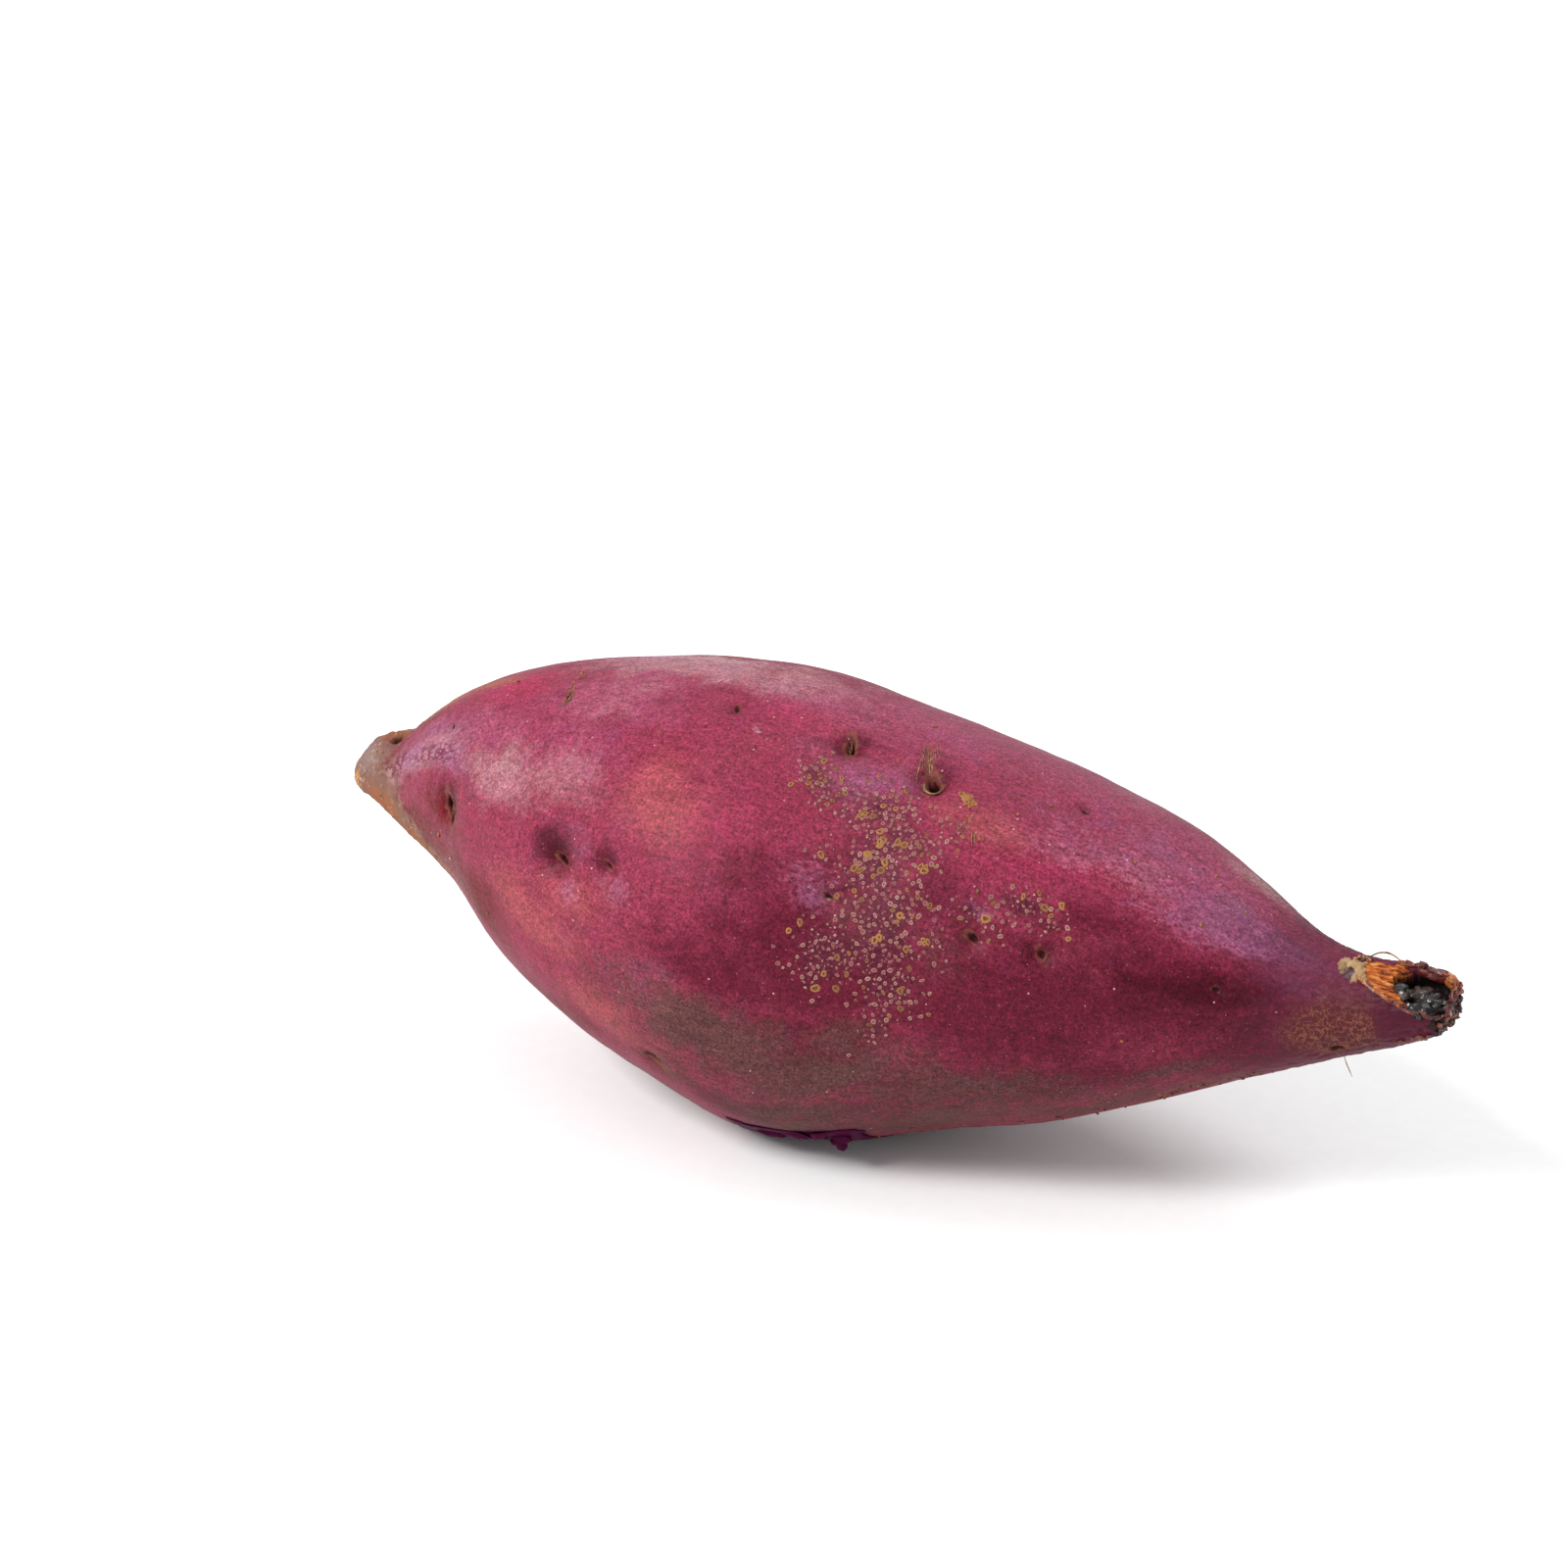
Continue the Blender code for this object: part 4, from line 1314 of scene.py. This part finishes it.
def threads(name, strands, material):
    """Thin tapering tubes through points in millimetres; each strand is its radius and its points."""
    curve = bpy.data.curves.new(name, "CURVE")
    curve.dimensions = "3D"
    curve.bevel_depth = 1.0
    curve.bevel_resolution = 1
    curve.resolution_u = 4
    curve.use_fill_caps = True
    for radius, points in strands:
        spline = curve.splines.new("NURBS")
        spline.points.add(len(points) - 1)
        spline.use_endpoint_u = True
        spline.order_u = 3
        for number, point in enumerate(points):
            from_middle = abs(2 * number / (len(points) - 1) - 1)
            spline.points[number].co = (*(Vector(point) * MM), 1.0)
            spline.points[number].radius = radius * MM * (1.0 - (1.0 - THINNEST) * from_middle ** 2)
    drawn = bpy.data.objects.new(name + "_curve", curve)
    bpy.context.scene.collection.objects.link(drawn)
    bpy.context.view_layer.update()
    evaluated = drawn.evaluated_get(bpy.context.evaluated_depsgraph_get())
    mesh = bpy.data.meshes.new_from_object(evaluated)
    bpy.data.objects.remove(drawn)
    mesh.name = name
    for corner in mesh.vertices:
        corner.co = inside_box(corner.co)
    add_piece(mesh, name, material)


def laid(places, lift):
    """Points just above the skin through places along and round."""
    return [point + normal * lift for point, normal in (on_skin(place, side) for place, side in places)]


# Dried fibre: tan, matt, darker in bands along it
BAND_LENGTH = 0.9
fibre, tree, shader = new_material("dry_fibre", Roughness=0.75)
position = add_node(tree, "TexCoord").outputs["Object"]
bands = add_node(tree, "TexNoise", {"Vector": position, "Scale": 1 / (BAND_LENGTH * MM), "Detail": 2.0})
darker = add_node(tree, "MapRange", {"Value": bands, "From Min": 0.35, "From Max": 0.65})
banded = {"Factor": darker, "A": linear("#3e2213"), "B": linear("#9a764c")}
tone = add_node(tree, "Mix", banded, data_type="RGBA")
tree.links.new(tone.outputs["Result"], shader.inputs["Base Color"])
print("fibre is banded about every", BAND_LENGTH, "mm")

# %% Bent fibres in the eyes and along the trough
# Along, around, length, tilt in degrees, how many, how far they spread
FIBRE_TUFTS = (
    (93.3, 105, 4.2, 72, 5, 0.5), (104.6, 102, 7.5, 66, 12, 0.75), (29.6, 168, 2.2, 85, 2, 0.3),
    (107.3, 111.5, 2.2, 30, 5, 0.5), (45.4, 107.5, 6.5, 78, 7, 0.35), (114.9, 124.5, 4, 68, 4, 0.9),
    (73, 210, 3, 10, 3, 0.5), (12, 106, 4, 30, 3, 0.8),
)
FIBRE_POINTS = 4
draw = random.Random(31)
strands = []
for place, side, length, tilt, count, spread in FIBRE_TUFTS:
    degree = math.radians(1.0) * float(bare_radius(np.array([place]), np.array([side]))[0])
    for _ in range(count):
        turn = math.radians(tilt + draw.uniform(-9.0, 9.0))
        aside = draw.gauss(0.0, spread)
        start = draw.uniform(-0.5, 0.1) * length
        run = length * draw.uniform(0.35, 0.6)
        path = []
        for step in range(FIBRE_POINTS):
            ahead = start + run * step / (FIBRE_POINTS - 1)
            wave = aside + draw.uniform(-0.12, 0.12)
            path.append((place + ahead * math.cos(turn) - wave * math.sin(turn),
                         side + (ahead * math.sin(turn) + wave * math.cos(turn)) / degree))
        strands.append((draw.uniform(0.04, 0.10), laid(path, draw.uniform(0.03, 0.12))))
print(len(strands), "bent fibres")

# %% Fibres round the deepest eye, and the long hairs
LIP_FIBRES = 8
EYE_PLACE, EYE_SIDE = 107.0, 109.5
# Millimetres ahead and degrees aside of the eye, along its lower lip
LIP_PATH = ((-1.3, 0.6), (-0.8, 2.7), (0.3, 3.4), (1.3, 2.2), (1.6, 0.4))
for _ in range(LIP_FIBRES):
    wide, low = draw.uniform(0.85, 1.25), draw.uniform(-0.3, 0.6)
    path = [(EYE_PLACE + wide * ahead, EYE_SIDE + low + aside) for ahead, aside in LIP_PATH]
    strands.append((draw.uniform(0.05, 0.10), laid(path, draw.uniform(0.03, 0.15))))

# Radius and points: the long dry hair over the cut with its knee, one below the neck, one at the tip
HAIRS = (
    (0.15, ((77.2, 1.6, 41.4), (78.6, 2.2, 42.6), (80.2, 2.4, 43.1), (82.0, 1.9, 42.9), (83.4, 1.2, 42.3))),
    (0.07, ((79.2, 2.2, 41.7), (79.6, 2.3, 42.8))),
    (0.09, ((76.9, -3.6, 29.7), (77.6, -4.3, 28.6), (78.3, -4.6, 27.6), (78.9, -4.7, 26.6))),
    (0.09, ((91.0, -1.0, 40.4), (91.6, -0.6, 41.2), (91.8, -0.2, 41.6))),
)
strands += HAIRS
print(len(strands), "threads")
threads("dry_threads", strands, fibre)

# %% [markdown]
# ## Cork on the nub
#
# The nub was once the root's tie to the plant. Its skin is dead cork that lifts in scraps, tan
# at the rim and grey on the end. Thin plates of seven corners lie over one another like scales.

# %% Cork scales over the nub
# Dry cork: matt, rust brown through tan to grey
CORK_TONES = ((0.02, "#35180f"), (0.3, "#62331f"), (0.55, "#8a6148"), (0.8, "#8c7770"), (0.98, "#a3958f"))
cork = toned_material("cork_scales", CORK_TONES, grain_size=0.5, contrast=0.5,
                      relief_height=0.05, Roughness=0.85)
SCALES = 150
SCALES_ALONG = (0.4, 17.0)
BORDER, BORDER_TONGUE = 7.0, 5.0
TONGUE_SIDE, TONGUE_SPREAD = 182.0, 34.0

draw = random.Random(41)
scales_body = bmesh.new()
placed = 0
while placed < SCALES:
    place, side = draw.uniform(*SCALES_ALONG), draw.uniform(0.0, 360.0)
    turn_to = degrees_between(side, TONGUE_SIDE)
    border = BORDER + BORDER_TONGUE * math.exp(-(turn_to / TONGUE_SPREAD) ** 2)
    if draw.random() > math.exp(-max(0.0, place - border) / 0.9):
        continue
    size = draw.uniform(0.35, 0.85) * (0.6 if place > border else 1.0)
    tone = min(max(0.72 - 0.035 * place + draw.uniform(-0.3, 0.25), 0.05), 0.95)
    turn = draw.uniform(0, FULL_TURN)
    matrix = seat(*on_skin(place, side), turn, lift=-0.02, lean=draw.uniform(-0.15, 0.15))
    flake(scales_body, matrix, size * draw.uniform(1.0, 2.0), size, 0.08, draw, tone)
    placed += 1
print(placed, "scales")

# %% Flaky rims beside the nub
# How many, last place along, side and spread in degrees, lean, length, width, thickness, tone
FLAKY_RIMS = (
    (90, 30.0, 203.0, 9.0, 0.3, (0.4, 1.1), (0.25, 0.5), 0.1, (0.3, 0.7)),
    (45, 34.0, 98.0, 5.0, 0.2, (0.3, 0.8), (0.15, 0.35), 0.08, (0.4, 0.75)),
)
RIM_START = 10.0
for count, end, side, spread, lean, lengths, widths, thickness, tones in FLAKY_RIMS:
    for _ in range(count):
        spot = draw.uniform(RIM_START, end), side + draw.gauss(0.0, spread)
        matrix = seat(*on_skin(*spot), draw.uniform(0, FULL_TURN), lean=draw.uniform(-lean, lean))
        length, width, tone = draw.uniform(*lengths), draw.uniform(*widths), draw.uniform(*tones)
        flake(scales_body, matrix, length, width, thickness, draw, tone)
print(sum(row[0] for row in FLAKY_RIMS), "flakes")

# %% Bits of dry peel under the lower right edge, crowded round the crack there
PEEL_BITS = 70
CRACK_SHARE = 0.4
CRACK_PLACE, CRACK_SIDE = 146.0, 239.0
for _ in range(PEEL_BITS):
    crowded = draw.random() < CRACK_SHARE
    place = draw.gauss(CRACK_PLACE, 2.2) if crowded else draw.uniform(96.0, 160.0)
    side = draw.gauss(CRACK_SIDE, 2.5 if crowded else 5.0)
    turn = draw.uniform(0, FULL_TURN)
    matrix = seat(*on_skin(place, side), turn, lift=0.05, lean=draw.uniform(-0.8, 0.8))
    length, width, tone = draw.uniform(0.4, 1.1), draw.uniform(0.25, 0.55), draw.uniform(0.1, 0.5)
    flake(scales_body, matrix, length, width, 0.1, draw, tone, curl=0.3)
print(PEEL_BITS, "bits of peel")
finish_piece(scales_body, "cork_scales", cork, smooth=False)

# %% [markdown]
# ## The scorched stub
#
# The oven turned the rim of the cut to brittle scraps and the flesh inside to glossy lumps of
# burnt sugar. Both are made of the same two shapes as before: plates for what tore, crumbs for
# what boiled up. They overlap and lean, which gives the rim its ragged outline.

# %% Scraps along the rim of the cut
# Burnt peel: char through maroon and brown to amber and beige, a little sticky
PEEL_TONES = ((0.02, "#120c0b"), (0.2, "#2a1210"), (0.42, "#561a1a"), (0.6, "#7a3a1c"), (0.8, "#a4652c"),
              (0.98, "#b79a72"))
peel = toned_material("burnt_peel", PEEL_TONES, grain_size=0.6, contrast=0.45,
                      relief_height=0.08, Roughness=0.42)
# Point in millimetres, tone, how tall the scraps stand
RIM = (
    ((83.4, 1.4, 41.9), 0.6, 0.8), ((84.9, 1.7, 42), 0.45, 1.1), ((86.3, 1.9, 41.9), 0.42, 1.3),
    ((87.7, 1.8, 41.7), 0.42, 1.4), ((89, 1.6, 41.5), 0.5, 1.4), ((90.3, 1.2, 41.2), 0.74, 1.4),
    ((91.2, 0.4, 40.6), 0.5, 1.1), ((91.6, -0.8, 40), 0.35, 1.1), ((91.6, -2, 39.2), 0.25, 1.1),
    ((91.2, -3.4, 38.4), 0.25, 1), ((90.2, -4.3, 38.1), 0.3, 1), ((88.8, -4.7, 38.3), 0.34, 0.9),
    ((87.3, -4.8, 38.5), 0.4, 0.9), ((85.8, -4.8, 38.9), 0.46, 0.8), ((84.2, -4.6, 39.2), 0.55, 0.7),
    ((82.6, -4.3, 39.6), 0.66, 0.7), ((81, -3.8, 40), 0.62, 0.6), ((79.6, -3.2, 40.4), 0.8, 0.5),
)
SCRAPS_EACH = 5
draw = random.Random(53)
rim_body = bmesh.new()
for number, (point, tone, height) in enumerate(RIM):
    after, before = RIM[min(number + 1, len(RIM) - 1)][0], RIM[max(number - 1, 0)][0]
    run = (Vector(after) - Vector(before)).normalized()
    for _ in range(SCRAPS_EACH):
        ground, normal = near_skin(Vector(point) + run * draw.uniform(-0.9, 0.9))
        uneven = Vector((draw.uniform(-0.4, 0.4), draw.uniform(-0.4, 0.4), 0))
        stand = (Vector(CUT_NORMAL) * 0.7 + normal * 0.5 + uneven).normalized()
        upright = Matrix((run, stand, run.cross(stand))).transposed().to_4x4()
        foot = ground + stand * height * draw.uniform(0.1, 0.35)
        matrix = Matrix.Translation(foot * MM) @ upright @ Matrix.Scale(MM, 4)
        matrix = matrix @ Matrix.Rotation(draw.uniform(-0.5, 0.5), 4, "X")
        matrix = matrix @ Matrix.Rotation(draw.uniform(-0.5, 0.5), 4, "Z")
        length, width = draw.uniform(1.0, 2.3), height * draw.uniform(0.6, 1.2)
        scrap_tone = min(max(tone + draw.uniform(-0.14, 0.14), 0.0), 1.0)
        flake(rim_body, matrix, length, width, 0.28, draw, scrap_tone, curl=0.3)
print(len(RIM) * SCRAPS_EACH, "scraps along the rim")

# %% Scraps all over the burnt end, and a tuft beside the scab
END_SCRAPS, TUFT_SCRAPS = 120, 16
BURNT_END, TUFT_HEIGHT = 92.5, 41.6
for _ in range(END_SCRAPS):
    ground, normal = near_skin((BURNT_END, draw.uniform(-4.6, 2.6), draw.uniform(34.6, 41.4)))
    turn = draw.uniform(0, FULL_TURN)
    matrix = seat(ground, normal, turn, lift=0.05, lean=draw.uniform(-0.9, 0.9))
    length, width = draw.uniform(0.5, 1.4), draw.uniform(0.4, 0.9)
    tone = draw.choice((0.1, 0.2, 0.3, 0.4, 0.5, 0.65))
    flake(rim_body, matrix, length, width, 0.2, draw, tone, curl=0.4)
for _ in range(TUFT_SCRAPS):
    ground, normal = near_skin((draw.uniform(76.0, 78.4), draw.uniform(0.2, 2.4), TUFT_HEIGHT))
    turn = draw.uniform(0, FULL_TURN)
    matrix = seat(ground, normal, turn, lift=0.25, lean=draw.uniform(0.5, 1.5))
    length, width = draw.uniform(0.6, 1.5), draw.uniform(0.4, 0.8)
    tone = draw.choice((0.3, 0.5, 0.72, 0.8))
    flake(rim_body, matrix, length, width, 0.2, draw, tone, curl=0.3)
print(END_SCRAPS + TUFT_SCRAPS, "loose scraps")

# %% The thick flap of the upper rim, and blisters under the neck
# Centre and half lengths in millimetres, and tone: the flap turns to amber at its end
FLAP = (
    ((85.9, 2.0, 41.5), (2.3, 0.5, 0.9), 0.44),
    ((88.3, 1.9, 41.4), (2.0, 0.5, 1.0), 0.4),
    ((90.5, 1.4, 41.0), (1.1, 0.45, 1.1), 0.68),
)
BLISTERS = ((88.1, -3.6, 34.4), (88.9, -3.4, 34.3), (87.0, -3.6, 34.0), (85.2, -3.5, 33.4))
BLISTER_SIZE, BLISTER_TONE = (0.75, 0.5, 0.4), 0.38
for centre, size, tone in FLAP:
    crumb(rim_body, level_at(centre), size, draw, tone, finer=3, unevenness=0.15)
for spot in BLISTERS:
    matrix = seat(*near_skin(spot), draw.uniform(0, FULL_TURN), lift=0.1)
    crumb(rim_body, matrix, BLISTER_SIZE, draw, BLISTER_TONE, finer=2)
print(len(BLISTERS), "blisters")
finish_piece(rim_body, "torn_rim", peel, smooth=False)

# %% Burnt sugar in the hollow
# Burnt sugar: near black, with a sticky gloss on its lumps
SUGAR_TONES = ((0.02, "#0b0908"), (0.4, "#17110f"), (0.7, "#2b211f"), (0.98, "#4a3a33"))
sugar = toned_material("burnt_sugar", SUGAR_TONES, grain_size=0.8, contrast=0.5,
                       relief_height=0.10, Roughness=0.3, IOR=1.45)
SUGAR_LUMPS = 26
HOLLOW_X, HOLLOW_Y = 87.4, -2.2
HALF_LENGTH, HALF_WIDTH = 4.0, 2.3

draw = random.Random(67)
lump_body = bmesh.new()
placed = 0
while placed < SUGAR_LUMPS:
    x, y = draw.uniform(83.9, 91.2), draw.uniform(-4.3, 1.2)
    off_centre = ((x - HOLLOW_X) / HALF_LENGTH) ** 2 + ((y - HOLLOW_Y) / HALF_WIDTH) ** 2
    if off_centre > 1.0 or draw.random() < (y - HOLLOW_Y) / 5.0:
        continue
    slope = (x - lip_point[0]) * CUT_NORMAL[0] + (y - lip_point[1]) * CUT_NORMAL[1]
    cut_height = float(lip_point[2] - slope / CUT_NORMAL[2])
    sunk = 0.5 + 0.9 * (1 - off_centre) * draw.random() + max(0.0, y + 2.0) * 0.9
    size = draw.uniform(0.7, 1.5)
    spot = Matrix.Translation(Vector((x, y, cut_height - sunk)) * MM)
    matrix = spot @ Matrix.Rotation(draw.uniform(0, FULL_TURN), 4, "Z") @ Matrix.Scale(MM, 4)
    sizes = (size, size * draw.uniform(0.6, 1.0), size * draw.uniform(0.5, 0.9))
    crumb(lump_body, matrix, sizes, draw, draw.uniform(0.1, 0.9), finer=3, unevenness=0.35)
    placed += 1
finish_piece(lump_body, "burnt_sugar", sugar)

# %% Grains of ash, which also paint highlights on the char
# Ash: dry pale grey grains that cling to the char, and that also stand in for its light-grey highlights
ash = toned_material("ash_and_highlight_grains", ((0.1, "#8d857f"), (0.9, "#cfcac4")), grain_size=0.3, contrast=0.4,
                     relief_height=0.03, Roughness=0.9)
ASH_AND_HIGHLIGHT_SPOTS = (
    (84.6, -3.4, 40.2), (85, -3.6, 40), (85.3, -3.8, 39.8), (86.6, -4.6, 39), (88.5, -2.6, 39.7),
    (88.7, -2.9, 39.5), (90.4, -2.2, 39.5), (90.8, -2, 39.4), (90.1, -2.6, 39.4), (91.6, -2.6, 38.2),
    (91.5, -3.2, 37.8), (91.7, -1.6, 38.6), (87.2, -4.9, 38.4), (89.6, -4.2, 38.3), (91.3, -1, 39.9),
)
ash_and_highlight_body = bmesh.new()
for spot in ASH_AND_HIGHLIGHT_SPOTS:
    for _ in range(2):
        size = draw.uniform(0.10, 0.26)
        jitter = Vector((draw.uniform(-0.25, 0.25), draw.uniform(-0.25, 0.25), draw.uniform(-0.1, 0.3)))
        sizes = (size, size * 0.8, size)
        crumb(ash_and_highlight_body, level_at(Vector(spot) + jitter), sizes, draw, draw.random(), unevenness=0.4)
finish_piece(ash_and_highlight_body, "ash_and_highlight_grains", ash)

# %% [markdown]
# ## Syrup under the belly
#
# Juice ran out under the root and dried to a dark, wet-looking crescent with one drip. It is a
# copy of the skin's own faces there, lifted a tenth of a millimetre, so that it fits every fold.

# %% Film of syrup
# Dried syrup: dark purple, thin and nearly dry, with a low shine
syrup = toned_material("dried_syrup", ((0.1, "#2a041c"), (0.9, "#4e0a34")), grain_size=1.2, contrast=0.5,
                       relief_height=0.06, Roughness=0.5, Specular_IOR_Level=0.04)
DAMP_FROM = 0.45
FILM_THICKNESS = 0.12
FORWARD_AND_DOWN = (0.0, -0.35, -0.6)
# Where the film thickens towards a drip: centre, reach and height in millimetres
THICKER = (((2.2, -20.0, 7.4), 1.5, 1.1), ((3.6, -20.2, 7.2), 1.2, 0.8), ((8.0, -17.5, 5.8), 1.5, 0.5))

film = bmesh.new()
film.from_mesh(skin_mesh)
damp = film.verts.layers.float["damp"]
dry = [corner for corner in film.verts if corner[damp] < DAMP_FROM]
bmesh.ops.delete(film, geom=dry, context="VERTS")
layer = tone_layer(film)
for corner in film.verts:
    lift = 0.05 + 0.12 * corner[damp] + 0.05 * noise.noise(corner.co / MM / 1.2)
    for centre, reach, height in THICKER:
        lift += height * math.exp(-((corner.co / MM - Vector(centre)).length / reach) ** 2)
    corner[layer] = 0.5 + 0.5 * noise.noise(corner.co / MM / 2.0)
    corner.co += (corner.normal * 0.6 + Vector(FORWARD_AND_DOWN)).normalized() * lift * MM
print("film of", len(film.faces), "faces")
bmesh.ops.solidify(film, geom=list(film.faces), thickness=FILM_THICKNESS * MM)

# %% Thicker runs along the film's lower edge, and the drip
# Centre and half lengths in millimetres
RUNS = (
    ((-5, -19.2, 4.2), (2.6, 0.8, 0.7)), ((-1, -19.9, 5.2), (2.6, 0.7, 0.7)),
    ((2.6, -20.3, 6.2), (2.3, 0.7, 0.7)), ((6.4, -19, 5.9), (1.6, 0.9, 0.9)),
    ((6.5, -19.2, 4.9), (0.9, 0.7, 1)), ((5.4, -19.2, 5.2), (0.7, 0.6, 0.6)),
)
draw = random.Random(71)
for centre, size in RUNS:
    crumb(film, level_at(centre), size, draw, draw.uniform(0.3, 0.9), finer=3, unevenness=0.12)
finish_piece(film, "dried_syrup", syrup)
